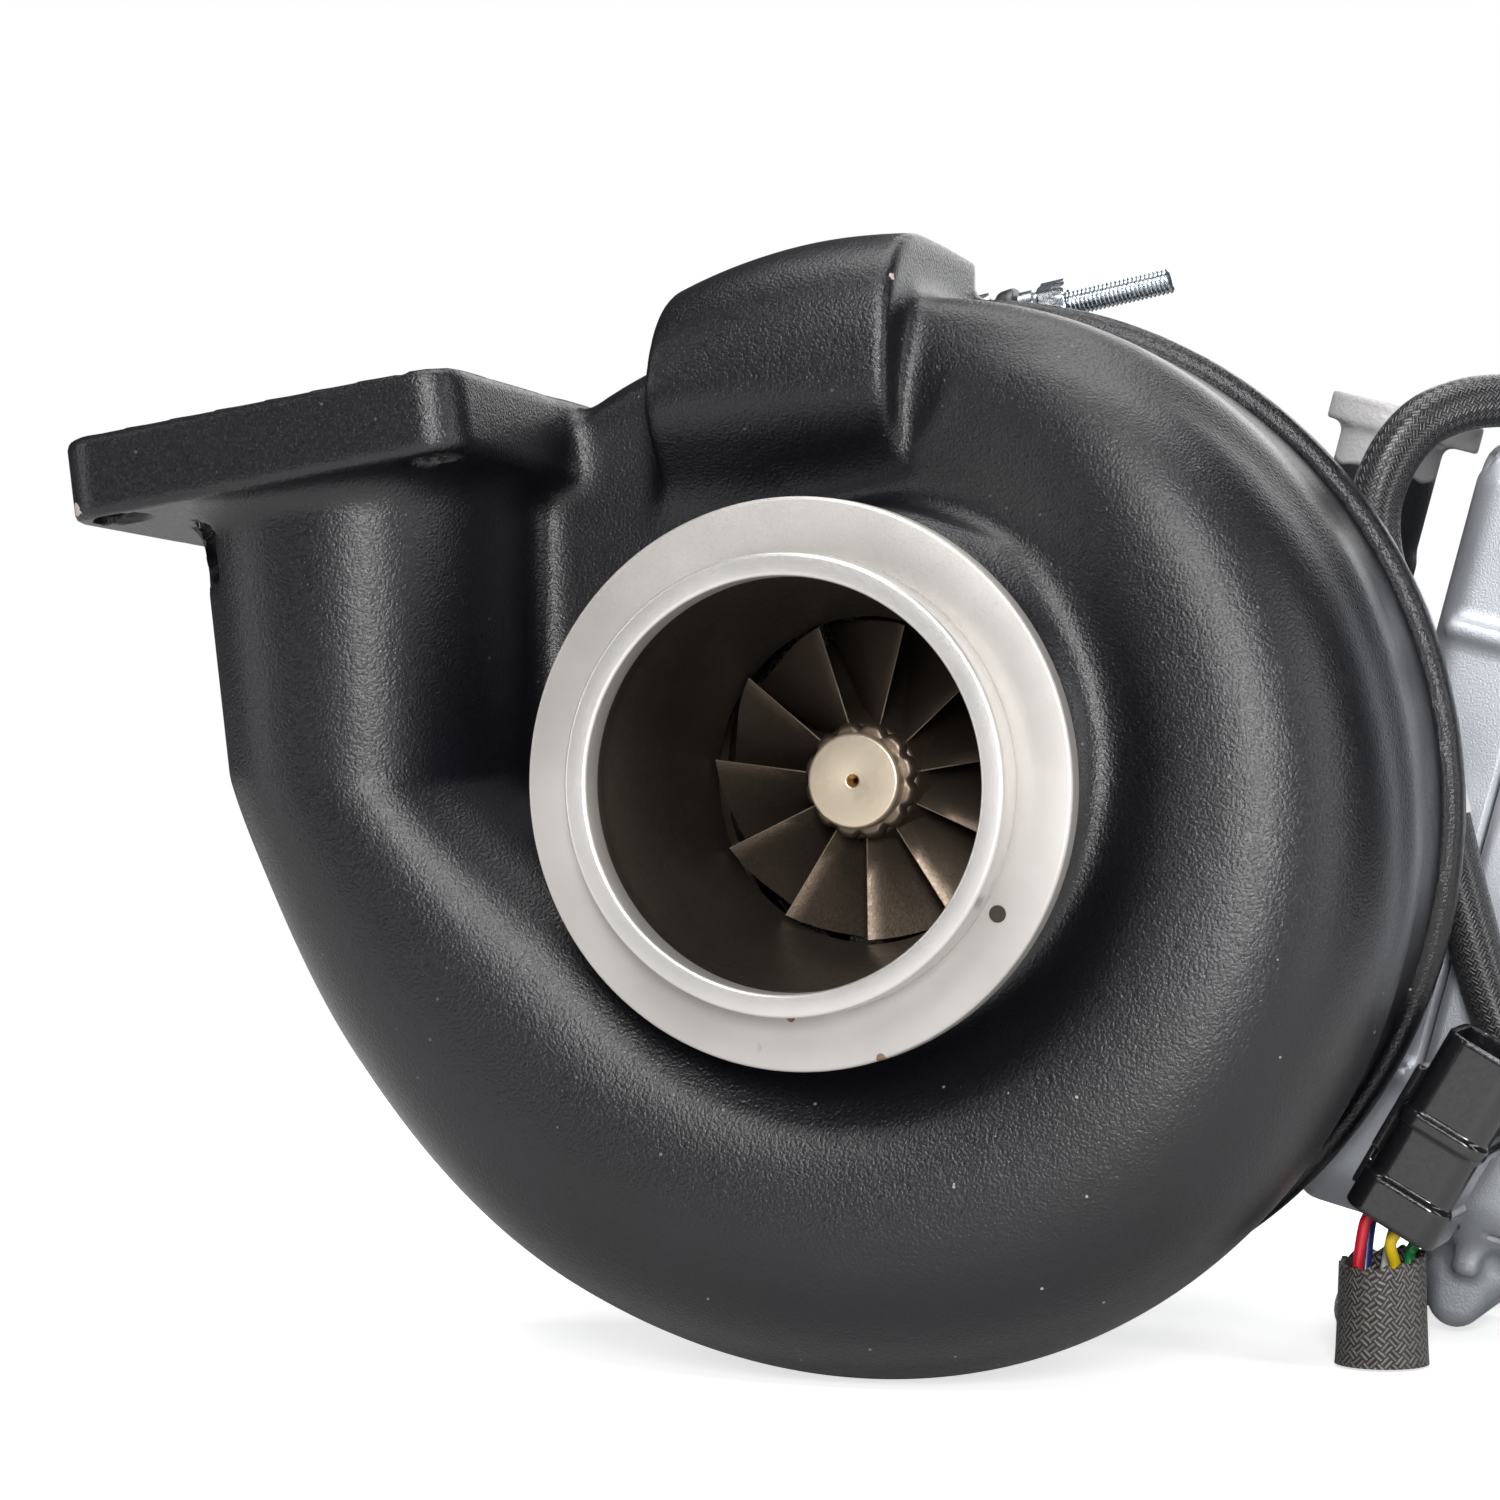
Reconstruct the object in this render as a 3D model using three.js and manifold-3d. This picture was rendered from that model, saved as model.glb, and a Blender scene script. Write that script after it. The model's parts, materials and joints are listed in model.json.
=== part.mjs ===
// Variable-geometry turbocharger: an exhaust-driven supercharger with an electric nozzle actuator.
// Millimetres. The shaft runs along Y with the turbine outlet towards -Y, +X is right and +Z is up.
// Pieces are drawn about the shaft, with Y = 0 on the face of the outlet flange, and the whole
// assembly is then lifted so that its origin is under its middle, on the surface it stands on.
import * as THREE from "three";
import { mergeVertices } from "three/addons/utils/BufferGeometryUtils.js";
import { ParametricGeometry } from "three/addons/geometries/ParametricGeometry.js";
import Module from "manifold-3d";

const wasm = await Module();
wasm.setup();

const DEG = Math.PI / 180;
const GAP = 0.3;                     // clearance between neighbouring pieces

// Driving dimensions
const FLOOR_Z = -127.5;              // height of the standing surface under the shaft
const OUTLET_FLANGE_R = 58.5;
const OUTLET_LIP_R = 46.9;
const OUTLET_BORE_R = 42.1;
const LIP_Y = -9;                    // the lip stands proud of the flange
const SHROUD_R = 34.9;               // bore round the turbine wheel's outlet
const RIM_Y0 = 110;
const RIM_Y1 = 117;                  // back rim of the turbine housing
const JOINT_Y = 124;                 // face where turbine and bearing housings meet
const CLAMP_R = 90;                  // radius of both clamped flanges
const NOZZLE_R_IN = 46.5;
const NOZZLE_R_OUT = 64;
const NOZZLE_STROKE = 10;
const BACKPLATE_Y = 196.3;
const COVER_Y = 204;                 // face where backplate and compressor cover meet
const COVER_END_Y = 285;
const INDUCER_BORE_R = 31;
const TILT = 15 * DEG;               // the actuator leans over to the right by this much
const LEVER_Y = 168;                 // cross-shaft axis, in the leaning frame
const LEVER_Z = -34;
const LEVER_LENGTH = 25;
const LEVER_SWING = NOZZLE_STROKE / LEVER_LENGTH;
const ROD_X = 55.5;
const PINION_Z = 14;
const SECTOR_TEETH = 30;
const PINION_TEETH = 10;
const SECTOR_MODULE = 2.4;
const TRAIN_MODULE = 2;
const BIG_TEETH = 22;
const SMALL_TEETH = 8;
const ACT = { y0: 138, y1: 204, z0: -75, z1: 104, mountX: 91, splitX: 114.7, coverX: 160, endX: 166 };
const SLEEVE_R = 6;

// ---------- materials ----------
const finish = (color, roughness, metalness) => new THREE.MeshStandardMaterial({ color, roughness, metalness });
const blackPaint = finish(0x17181b, 0.45, 0.1);
const machined = finish(0xb4afa8, 0.38, 1);
const nickelAlloy = finish(0x6b5d50, 0.5, 1);
const steel = finish(0x9a9a9c, 0.3, 1);
const zincSteel = finish(0xc2c5c8, 0.25, 1);
const darkSteel = finish(0x3c3d40, 0.5, 0.9);
const castSilver = finish(0xa3a6ab, 0.5, 0.8);
const bronze = finish(0x9c7440, 0.4, 1);
const blackRubber = finish(0x141414, 0.8, 0);
const blackPlastic = finish(0x0e0e10, 0.3, 0);
const redPlastic = finish(0x8f1014, 0.4, 0);
const boardGreen = finish(0x1f5a34, 0.5, 0);
const wovenBlack = finish(0x1b1b1e, 0.6, 0);
const wovenGrey = finish(0x5a5854, 0.7, 0);
const insulation = (color) => finish(color, 0.4, 0);

// ---------- geometry helpers ----------
// Weld a three.js geometry into a closed solid, dropping collapsed triangles and turning it outwards.
function solid(geometry) {
  const bare = geometry.clone();
  bare.deleteAttribute("normal");
  bare.deleteAttribute("uv");
  const welded = mergeVertices(bare, 1e-4);
  const vertProperties = new Float32Array(welded.attributes.position.array);
  const source = welded.index.array;
  const kept = [];
  for (let i = 0; i < source.length; i += 3) {
    const [a, b, c] = [source[i], source[i + 1], source[i + 2]];
    if (a !== b && b !== c && c !== a) kept.push(a, b, c);
  }
  if (signedVolume(vertProperties, kept) < 0) kept.reverse();
  return new wasm.Manifold(new wasm.Mesh({ numProp: 3, vertProperties, triVerts: new Uint32Array(kept) }));
}

function signedVolume(points, triangles) {
  const corner = (i) => new THREE.Vector3().fromArray(points, 3 * i);
  let sum = 0;
  for (let i = 0; i < triangles.length; i += 3) {
    sum += corner(triangles[i]).dot(corner(triangles[i + 1]).cross(corner(triangles[i + 2])));
  }
  return sum / 6;
}

// Put a geometry at a place, turned by Euler angles, before it becomes a solid.
function placed(geometry, at, turn = [0, 0, 0]) {
  const rotation = new THREE.Quaternion().setFromEuler(new THREE.Euler(...turn));
  return geometry.applyMatrix4(new THREE.Matrix4().compose(new THREE.Vector3(...at), rotation,
    new THREE.Vector3(1, 1, 1)));
}

const union = (...solids) => solids.reduce((sum, next) => sum.add(next));
const cut = (body, ...tools) => tools.reduce((rest, tool) => rest.subtract(tool), body);
// The biggest body that a cut leaves, without the crumbs beside it.
const biggest = (body) => body.decompose().reduce((best, next) => (next.volume() > best.volume() ? next : best));

// A turned shape about the shaft, from (radius, y) pairs; a profile off the axis closes on itself.
function turned(profile, segments = 24) {
  const points = profile.map(([r, y]) => new THREE.Vector2(r, y));
  if (profile[0][0] > 0 || profile.at(-1)[0] > 0) points.push(points[0].clone());
  return solid(new THREE.LatheGeometry(points, segments));
}
const ring = (rIn, rOut, y0, y1, segments = 20) =>
  turned([[rIn, y0], [rOut, y0], [rOut, y1], [rIn, y1]], segments);
const disc = (r, y0, y1, segments = 24) => turned([[0, y0], [r, y0], [r, y1], [0, y1]], segments);

function block(x0, x1, y0, y1, z0, z1) {
  const centre = [(x0 + x1) / 2, (y0 + y1) / 2, (z0 + z1) / 2];
  return solid(placed(new THREE.BoxGeometry(x1 - x0, y1 - y0, z1 - z0), centre));
}

// Round bar between two points.
function bar(r, from, to, segments = 12) {
  const a = new THREE.Vector3(...from);
  const b = new THREE.Vector3(...to);
  const along = b.clone().sub(a);
  const rotation = new THREE.Quaternion().setFromUnitVectors(new THREE.Vector3(0, 1, 0), along.clone().normalize());
  const geometry = new THREE.CylinderGeometry(r, r, along.length(), segments);
  return solid(geometry.applyMatrix4(new THREE.Matrix4().compose(a.add(b).multiplyScalar(0.5), rotation,
    new THREE.Vector3(1, 1, 1))));
}

// Rectangle with rounded corners, centred on a point.
function roundedRect(cx, cy, width, height, r) {
  const shape = new THREE.Shape();
  const [hw, hh] = [width / 2 - r, height / 2 - r];
  shape.absarc(cx + hw, cy + hh, r, 0, Math.PI / 2);
  shape.absarc(cx - hw, cy + hh, r, Math.PI / 2, Math.PI);
  shape.absarc(cx - hw, cy - hh, r, Math.PI, 1.5 * Math.PI);
  shape.absarc(cx + hw, cy - hh, r, 1.5 * Math.PI, 2 * Math.PI);
  shape.closePath();
  return shape;
}

const slab = (shape, depth, curveSegments = 3) =>
  new THREE.ExtrudeGeometry(shape, { depth, bevelEnabled: false, curveSegments });
// The same outline stood up: in X and Z, thick along Y.
const slabY = (shape, y0, y1, curveSegments) =>
  solid(placed(slab(shape, y1 - y0, curveSegments), [0, y1, 0], [Math.PI / 2, 0, 0]));
// An outline given in Y and Z, thick along X.
function slabX(shape, x0, x1, curveSegments) {
  const toYZ = new THREE.Matrix4().makeBasis(new THREE.Vector3(0, 1, 0), new THREE.Vector3(0, 0, 1),
    new THREE.Vector3(1, 0, 0));
  return solid(slab(shape, x1 - x0, curveSegments).applyMatrix4(toYZ.setPosition(x0, 0, 0)));
}

// A closed skin through a row of closed sections: at(t, s) gives a point of section t at turn s.
function skin(at, sections, sides) {
  const centreOf = (t) => {
    const sum = new THREE.Vector3();
    for (let k = 0; k < sides; k++) sum.add(at(t, k / sides));
    return sum.divideScalar(sides);
  };
  const rows = sections + 2;
  const place = (u, v, target) => {
    const row = Math.round(v * rows);
    const t = (Math.min(Math.max(row, 1), rows - 1) - 1) / sections;
    const onEnd = row === 0 || row === rows;
    target.copy(onEnd ? centreOf(t) : at(t, (Math.round(u * sides) % sides) / sides));
  };
  return solid(new ParametricGeometry(place, sides, rows));
}

// Smooth value through (position, value) knots.
function through(knots, x) {
  const last = knots.length - 1;
  if (x <= knots[0][0]) return knots[0][1];
  if (x >= knots[last][0]) return knots[last][1];
  const i = knots.findIndex((knot) => knot[0] > x) - 1;
  const slope = (k) => {
    const [a, b] = [Math.max(k - 1, 0), Math.min(k + 1, last)];
    return (knots[b][1] - knots[a][1]) / (knots[b][0] - knots[a][0]);
  };
  const span = knots[i + 1][0] - knots[i][0];
  const t = (x - knots[i][0]) / span;
  return (2 * t ** 3 - 3 * t ** 2 + 1) * knots[i][1] + (t ** 3 - 2 * t ** 2 + t) * span * slope(i)
    + (-2 * t ** 3 + 3 * t ** 2) * knots[i + 1][1] + (t ** 3 - t ** 2) * span * slope(i + 1);
}

const squash = (value, power) => Math.sign(value) * Math.abs(value) ** power;

// ---------- groups and pieces ----------
const turbocharger = new THREE.Group();
turbocharger.name = "turbocharger";
const leaning = new THREE.Group();        // x along the cross-shaft, z up the actuator
leaning.rotation.y = TILT;
turbocharger.add(leaning);

const SHORTEST_EDGE = 0.02;               // shorter edges, left where cuts meet, are closed up
function addPiece(name, material, body, parent = turbocharger) {
  const mesh = body.simplify(SHORTEST_EDGE).getMesh();
  const geometry = new THREE.BufferGeometry();
  geometry.setAttribute("position", new THREE.BufferAttribute(new Float32Array(mesh.vertProperties), 3));
  geometry.setIndex(new THREE.BufferAttribute(new Uint32Array(mesh.triVerts), 1));
  geometry.computeVertexNormals();
  const piece = new THREE.Mesh(geometry, material);
  piece.name = name;
  parent.add(piece);
  return piece;
}

// A solid drawn in the leaning frame, brought into the upright one.
function leaned(geometryMaker) {
  const rotation = new THREE.Matrix4().makeRotationY(TILT);
  const mesh = geometryMaker.getMesh();
  const geometry = new THREE.BufferGeometry();
  geometry.setAttribute("position", new THREE.BufferAttribute(new Float32Array(mesh.vertProperties), 3));
  geometry.setIndex(new THREE.BufferAttribute(new Uint32Array(mesh.triVerts), 1));
  return solid(geometry.applyMatrix4(rotation));
}

// ---------- turbine housing ----------
// The scroll runs from the left (180 degrees) down under the shaft and up the right side.
const SCROLL_START = 182;
const SCROLL_END = 500;
const scrollOuterR = [[180, 144], [189, 137.5], [207, 130.5], [240, 127.5], [290, 127.5], [360, 112], [434, 102],
  [500, 98]];
const scrollHalfR = [[180, 31], [207, 37], [270, 38], [360, 33], [434, 28], [500, 24]];
const scrollFrontY = [[180, 9], [207, 9], [270, 12], [360, 27], [434, 38], [500, 46]];
const scrollBackY = [[180, 90], [270, 96], [434, 96], [500, 96]];
const rimR = [[180, 128], [270, 124], [309, 121.5], [330, 119], [370, 114], [434, 108], [500, 106]];
const NECK_TOP_Z = 62;
const SCROLL_WALL = 5;

// A section of the scroll or of its neck, shrunk by the wall when it is the passage inside.
function scrollPoint(angle, neckZ, wall, s) {
  const outer = through(scrollOuterR, angle);
  const front = through(scrollFrontY, angle);
  const back = through(scrollBackY, angle);
  const widen = neckZ > 0 ? 4 * neckZ / NECK_TOP_Z : 0;
  const half = through(scrollHalfR, angle) + widen - wall;
  const across = squash(Math.cos(2 * Math.PI * s), 0.85) * half;
  const y = (front + back) / 2 + squash(Math.sin(2 * Math.PI * s), 0.85) * ((back - front) / 2 - wall);
  const r = outer + widen * 2 - half - wall + across;
  if (neckZ > 0) return new THREE.Vector3(-r, y, neckZ);
  return new THREE.Vector3(r * Math.cos(angle * DEG), y, r * Math.sin(angle * DEG));
}

function scrollSkin(wall, topZ, endAngle, sections, sides) {
  const neckSections = 3;
  return skin((t, s) => {
    const step = t * sections;
    if (step < neckSections) {
      return scrollPoint(SCROLL_START - 2, topZ * (1 - step / neckSections) + 1e-6, wall, s);
    }
    const angle = SCROLL_START + (endAngle - SCROLL_START) * (step - neckSections) / (sections - neckSections);
    return scrollPoint(angle, 0, wall, s);
  }, sections, sides);
}

// Spiral outline of the back rim, in by a given step.
function rimOutline(inset) {
  const shape = new THREE.Shape();
  const steps = 36;
  for (let k = 0; k < steps; k++) {
    const angle = 180 + 360 * k / steps;
    const closing = Math.max(0, angle - 470) / 70;
    const r = through(rimR, angle) + closing * 20 - inset;
    const point = [r * Math.cos(angle * DEG), r * Math.sin(angle * DEG)];
    if (k === 0) shape.moveTo(...point);
    else shape.lineTo(...point);
  }
  shape.closePath();
  return shape;
}

// The four-bolt inlet flange, tipped to the left and slightly backwards.
const INLET = { x: -123.5, y: 44, z: 77.8, width: 94, depth: 85, thick: 18, roll: -9 * DEG, pitch: -3.2 * DEG };
const INLET_STUDS = [[-37, -33], [37, -33], [-37, 33], [37, 33]];
const inletFrame = new THREE.Matrix4().makeRotationY(INLET.roll)
  .multiply(new THREE.Matrix4().makeRotationX(INLET.pitch)).setPosition(INLET.x, INLET.y, INLET.z);
const inInletFrame = (geometry) => solid(geometry.applyMatrix4(inletFrame));

function turbineHousing() {
  const flangePlate = inInletFrame(placed(slab(roundedRect(0, 0, INLET.width, INLET.depth, 9), INLET.thick),
    [0, 0, -INLET.thick]));
  const back = union(slabY(rimOutline(4), 62, RIM_Y0 + 1), slabY(rimOutline(0), RIM_Y0, RIM_Y1));
  const clampFlange = disc(CLAMP_R, RIM_Y1 + 3.5, JOINT_Y - GAP, 28);
  const clampNeck = disc(84, RIM_Y1 - 1, RIM_Y1 + 4, 28);
  const outlet = turned([[0, LIP_Y], [OUTLET_LIP_R, LIP_Y], [OUTLET_LIP_R, 0], [OUTLET_FLANGE_R, 0],
    [OUTLET_FLANGE_R, 6], [50.5, 14], [50.5, 26], [58, 40], [58, 70], [0, 70]], 36);
  const humpShape = new THREE.Shape();
  humpShape.moveTo(-52, 50);
  humpShape.lineTo(4, 50);
  humpShape.absarc(0, 0, 118, Math.acos(4 / 118), Math.acos(-52 / 118));
  humpShape.closePath();
  const hump = cut(slabY(humpShape, 47, RIM_Y0 + 5, 5),
    solid(placed(new THREE.BoxGeometry(90, 60, 80), [-24, 30, 52], [40 * DEG, 0, 0])),
    solid(placed(new THREE.BoxGeometry(90, 120, 30), [-24, 120, 130.5], [-7 * DEG, 0, 0])));
  const body = union(scrollSkin(0, NECK_TOP_Z, SCROLL_END, 26, 14), back, clampNeck, clampFlange, outlet, hump,
    flangePlate);
  const port = inInletFrame(placed(slab(roundedRect(0, 0, 54, 52, 10), 40), [0, 0, -30]));
  const boltHole = (x, y) => inInletFrame(placed(new THREE.CylinderGeometry(6.15, 6.15, 60, 10),
    [x, y, -10], [Math.PI / 2, 0, 0]));
  const boltHoles = INLET_STUDS.map(([x, y]) => boltHole(x, y));
  const bore = turned([[0, LIP_Y - 1], [OUTLET_BORE_R, LIP_Y - 1], [OUTLET_BORE_R, 4], [SHROUD_R, 44],
    [SHROUD_R, 50], [37, 56], [42, 65], [44, 70], [0, 70]], 28);
  const nozzle = disc(66, 66, 90, 28);
  const recess = disc(79.6, 88, JOINT_Y + 1, 28);
  const pinHole = bar(1.65, [43, -1, -25.5], [43, 5, -25.5], 10);
  return cut(body, scrollSkin(SCROLL_WALL, NECK_TOP_Z + 12, SCROLL_END - 20, 18, 8), port, ...boltHoles, bore, nozzle, recess, pinHole);
}
addPiece("turbine_housing", blackPaint, biggest(turbineHousing()));

// ---------- nozzle ----------
// The fixed shroud plate backs onto the scroll wall; the ring with the vanes slides towards it.
const VANES = 13;
const vaneShape = () => {
  const shape = new THREE.Shape();
  shape.moveTo(-9, 0);
  shape.quadraticCurveTo(-2, 3.4, 8, 0.4);
  shape.quadraticCurveTo(-2, -0.2, -9, 0);
  shape.closePath();
  return shape;
};
function vane(index, y0, y1) {
  const geometry = slab(vaneShape(), y1 - y0, 2);
  placed(geometry, [0, y1, 0], [Math.PI / 2, 0, 0]);
  placed(geometry, [54.5, 0, 0], [0, 62 * DEG, 0]);
  return solid(geometry.rotateY(2 * Math.PI * index / VANES));
}

addPiece("shroud_plate", steel, ring(44.4, 65.4, 66.3, 69, 24));

const rodCentre = (side) => [side * ROD_X * Math.cos(TILT), -side * ROD_X * Math.sin(TILT)];
function nozzleRing() {
  const body = cut(ring(NOZZLE_R_IN + 0.5, NOZZLE_R_OUT - 0.5, 88, 96, 28),
    ring(NOZZLE_R_IN + 3, NOZZLE_R_OUT - 3, 91, 97, 28));
  return union(body, ...Array.from({ length: VANES }, (_, k) => vane(k, 81, 89)));
}
addPiece("nozzle_ring", nickelAlloy, nozzleRing());

function pushRod(side) {
  const [x, z] = rodCentre(side);
  const along = (r, y0, y1) => bar(r, [x, y0, z], [x, y1, z], 12);
  const tipY = LEVER_Y + NOZZLE_STROKE / 2;
  return union(along(4, 91.3, tipY + 9), along(11.5, tipY - 8.4, tipY - 4.4), along(11.5, tipY + 4.4, tipY + 8.4));
}
addPiece("push_rod_left", steel, pushRod(-1));
addPiece("push_rod_right", steel, pushRod(1));
addPiece("nozzle_ring_seal", darkSteel, ring(45.8, 46.6, 93.4, 95, 28));

// ---------- rotor ----------
// Closed blade between a hub line and a shroud line; both give [r, y] for t from outlet to inlet.
function blade(hubLine, tipLine, twist, thickness, start, end, steps) {
  const sides = 2 * (steps + 1);
  const at = (t, s) => {
    const k = Math.round(s * sides);
    const back = k > steps;
    const along = start + (end - start) * (back ? sides - 1 - k : k) / steps;
    const hub = hubLine(along);
    const tip = tipLine(along);
    const r = hub[0] + (tip[0] - hub[0]) * t;
    const y = hub[1] + (tip[1] - hub[1]) * t;
    const angle = twist(along) + (back ? 1 : -1) * thickness(t) / (2 * r);
    return new THREE.Vector3(r * Math.cos(angle), y, -r * Math.sin(angle));
  };
  return skin(at, 2, sides);
}
function around(piece, count, first = 0) {
  return Array.from({ length: count }, (_, k) => piece.rotate([0, first + 360 * k / count, 0]));
}

const TURBINE_BLADES = 11;
function turbineWheel() {
  const hub = turned([[0, 37], [9.2, 37], [9.2, 41], [12.2, 42.5], [13, 52], [16, 62], [22, 72], [34, 80.5],
    [36, 82], [36, 84], [14, 86], [9, 87], [9, 101], [5.5, 101.6], [5.5, 191], [3.9, 191.6], [3.9, 262],
    [0, 262]], 18);
  const hubLine = (t) => [9 + 14 * t ** 2, 46 + 31.7 * t];
  const tipLine = (t) => [34 + 7.6 * Math.max(0, t - 0.25) ** 1.5 / 0.65, 45 + 31 * t ** 0.9];
  const one = blade(hubLine, tipLine, (t) => 0.75 * (1 - t) ** 2, (t) => 2 - 0.9 * t, 0, 1, 3);
  return union(hub, ...around(one, TURBINE_BLADES, 13));
}
addPiece("turbine_wheel", nickelAlloy, turbineWheel());
addPiece("heat_shield", steel, turned([[17, 87.4], [44, 87.4], [46, 92.4], [44.6, 92.4], [43, 88.8],
  [17, 88.8]], 20));
addPiece("turbine_seal_ring", darkSteel, ring(9.35, 10.3, 97.2, 98.8));

const COMPRESSOR_BLADES = 7;
function compressorWheel() {
  const hub = cut(turned([[0, 207], [41, 207], [41, 208.6], [26, 213], [15, 224], [11, 235.4], [9.5, 248],
    [0, 248]], 21), disc(4.2, 206, 249, 12));
  const hubLine = (t) => [8 + 30 * t ** 2.2, 245 - 35.8 * t ** 0.9];
  const tipLine = (t) => [30 + 11 * t ** 3, 245 - 32 * t];
  const full = blade(hubLine, tipLine, (t) => -0.9 * (1 - t) ** 2, (t) => 1.8 - 0.9 * t, 0, 0.97, 3);
  const splitter = blade(hubLine, tipLine, (t) => -0.9 * (1 - t) ** 2, (t) => 1.8 - 0.9 * t, 0.35, 0.97, 2);
  const turn = 360 / COMPRESSOR_BLADES;
  return union(hub, ...around(full, COMPRESSOR_BLADES, 4), ...around(splitter, COMPRESSOR_BLADES, 4 + turn / 2));
}
addPiece("compressor_wheel", castSilver, compressorWheel());
addPiece("shaft_nut", steel, cut(solid(placed(new THREE.CylinderGeometry(8, 8, 8, 12), [0, 252.5, 0])),
  disc(4.2, 240, 260, 12)));
addPiece("thrust_collar", steel, ring(4.2, 9, 192, 196.8));
addPiece("oil_flinger", steel, turned([[4.2, 197.1], [11, 197.1], [11, 198.6], [8, 199.2], [8, 206.6],
  [4.2, 206.6]], 16));

// ---------- bearing housing ----------
const PORT_X = 65;                       // coolant neck, in the leaning frame
const PORT_Y = 168;
const PORT_JOINT_Z = 64;
const PORT_TOP_Z = 105;
function bearingHousing() {
  const casting = turned([[0, 92.8], [45.4, 92.8], [45.4, 122], [64.6, 122], [64.6, 92.8], [79, 92.8], [79, JOINT_Y],
    [CLAMP_R, JOINT_Y], [CLAMP_R, JOINT_Y + 3.5], [84, JOINT_Y + 3.5], [84, JOINT_Y + 8], [76, JOINT_Y + 14],
    [76, 189], [60, 196], [0, 196]], 28);
  const pad = leaned(slabX(roundedRect(166, -14, 48, 104, 10), 50, ACT.mountX - GAP));
  const oilInlet = bar(15, [0, 155, 60], [0, 155, 86], 16);
  const oilDrain = bar(21, [0, 155, -60], [0, 155, -86], 16);
  const coolantBoss = leaned(bar(15, [PORT_X - 3, PORT_Y, 20], [PORT_X - 3, PORT_Y, PORT_JOINT_Z - GAP], 16));
  const chamber = ring(25, 71, 137, 186.5, 24);
  const feedPillar = bar(8, [0, 155, 20], [0, 155, 73], 12);
  const drainPillar = bar(10, [0, 148.5, -20], [0, 148.5, -73], 12);
  const throughBore = disc(9.4, 91, 198, 24);
  const sealBore = disc(11.5, 96.5, 99.5, 24);
  const thrustPocket = disc(22.3, 190.7, 197, 24);
  const rodHoles = [-1, 1].map((side) => {
    const [x, z] = rodCentre(side);
    return bar(4.4, [x, 120, z], [x, 138, z], 12);
  });
  const crossBore = leaned(bar(9.4, [-90, LEVER_Y, LEVER_Z], [120, LEVER_Y, LEVER_Z], 16));
  const feedHole = bar(3, [0, 155, 0], [0, 155, 90], 10);
  const drainHole = bar(7, [0, 148.5, 0], [0, 150.5, -90], 12);
  const shell = cut(union(casting, pad, oilInlet, oilDrain, coolantBoss), chamber);
  return cut(union(shell, feedPillar, drainPillar), throughBore, sealBore, thrustPocket, ...rodHoles, crossBore,
    feedHole, drainHole);
}
addPiece("bearing_housing", darkSteel, bearingHousing());
addPiece("turbine_side_bearing", bronze, ring(5.8, 9.1, 108, 119));
addPiece("compressor_side_bearing", bronze, ring(5.8, 9.1, 172, 183));
addPiece("bearing_spacer", steel, ring(6.2, 9.1, 119.5, 171.5, 20));
addPiece("thrust_bearing", bronze, ring(9.3, 22, 191, 193.4));
addPiece("oil_seal_plate", steel, ring(9.3, 22, 193.7, 196));

// The coolant neck rises up the leaning frame to a two-bolt flange.
function coolantNeck() {
  const neck = bar(12, [PORT_X, PORT_Y, PORT_JOINT_Z], [PORT_X, PORT_Y, PORT_TOP_Z - 4], 16);
  const foot = bar(14.5, [PORT_X - 3, PORT_Y, PORT_JOINT_Z], [PORT_X - 3, PORT_Y, PORT_JOINT_Z + 7], 16);
  const flange = solid(placed(slab(roundedRect(0, 0, 36, 26, 9), 6), [PORT_X, PORT_Y, PORT_TOP_Z - 6]));
  const bore = bar(8, [PORT_X, PORT_Y, PORT_JOINT_Z + 3], [PORT_X, PORT_Y, 120]);
  const flangeHoles = [-13, 13].map((x) => bar(2.4, [PORT_X + x, PORT_Y, 90], [PORT_X + x, PORT_Y, 120], 10));
  return cut(union(neck, foot, flange), bore, ...flangeHoles);
}
addPiece("coolant_neck", blackPaint, coolantNeck(), leaning);

// ---------- clamps ----------
// A band of channel section, open at one angle, with a loop at each end of the gap.
function clampBand(rIn, rOut, lipR, y0, y1, lip, gapAngle, gapHalf) {
  const band = turned([[lipR, y0], [rOut, y0], [rOut, y1], [lipR, y1], [lipR, y1 - lip], [rIn, y1 - lip],
    [rIn, y0 + lip], [lipR, y0 + lip]], 28);
  const gap = solid(new THREE.BoxGeometry(gapHalf * 2, y1 - y0 + 10, 40).translate(0, (y0 + y1) / 2, rOut)
    .rotateY(Math.PI / 2 - gapAngle));
  return cut(band, gap);
}
// Solids drawn at the top of a ring, turned to the clamp's own angle (measured up from +X).
const atAngle = (body, angle) => body.rotate([0, 90 - angle / DEG, 0]);

const MAIN_CLAMP = { angle: 101 * DEG, y: JOINT_Y, boltR: 100.5 };
const COVER_CLAMP = { angle: 190 * DEG, y: COVER_Y, boltR: 95.5 };
function clampEnds(clamp, rOut) {
  const loop = (x) => cut(union(bar(6.5, [x - 4.5, clamp.y, clamp.boltR], [x + 4.5, clamp.y, clamp.boltR], 14),
    block(x - 4.5, x + 4.5, clamp.y - 5, clamp.y + 5, rOut - 2.5, clamp.boltR)),
    bar(3.4, [x - 6, clamp.y, clamp.boltR], [x + 6, clamp.y, clamp.boltR], 10));
  return [loop(-16), loop(21)].map((body) => atAngle(body, clamp.angle));
}
const tBolt = (clamp, length) => atAngle(union(
  bar(3, [-24, clamp.y, clamp.boltR], [-24 + length, clamp.y, clamp.boltR], 12),
  block(-27.5, -23, clamp.y - 6.5, clamp.y + 6.5, clamp.boltR - 3, clamp.boltR + 3)), clamp.angle);

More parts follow.
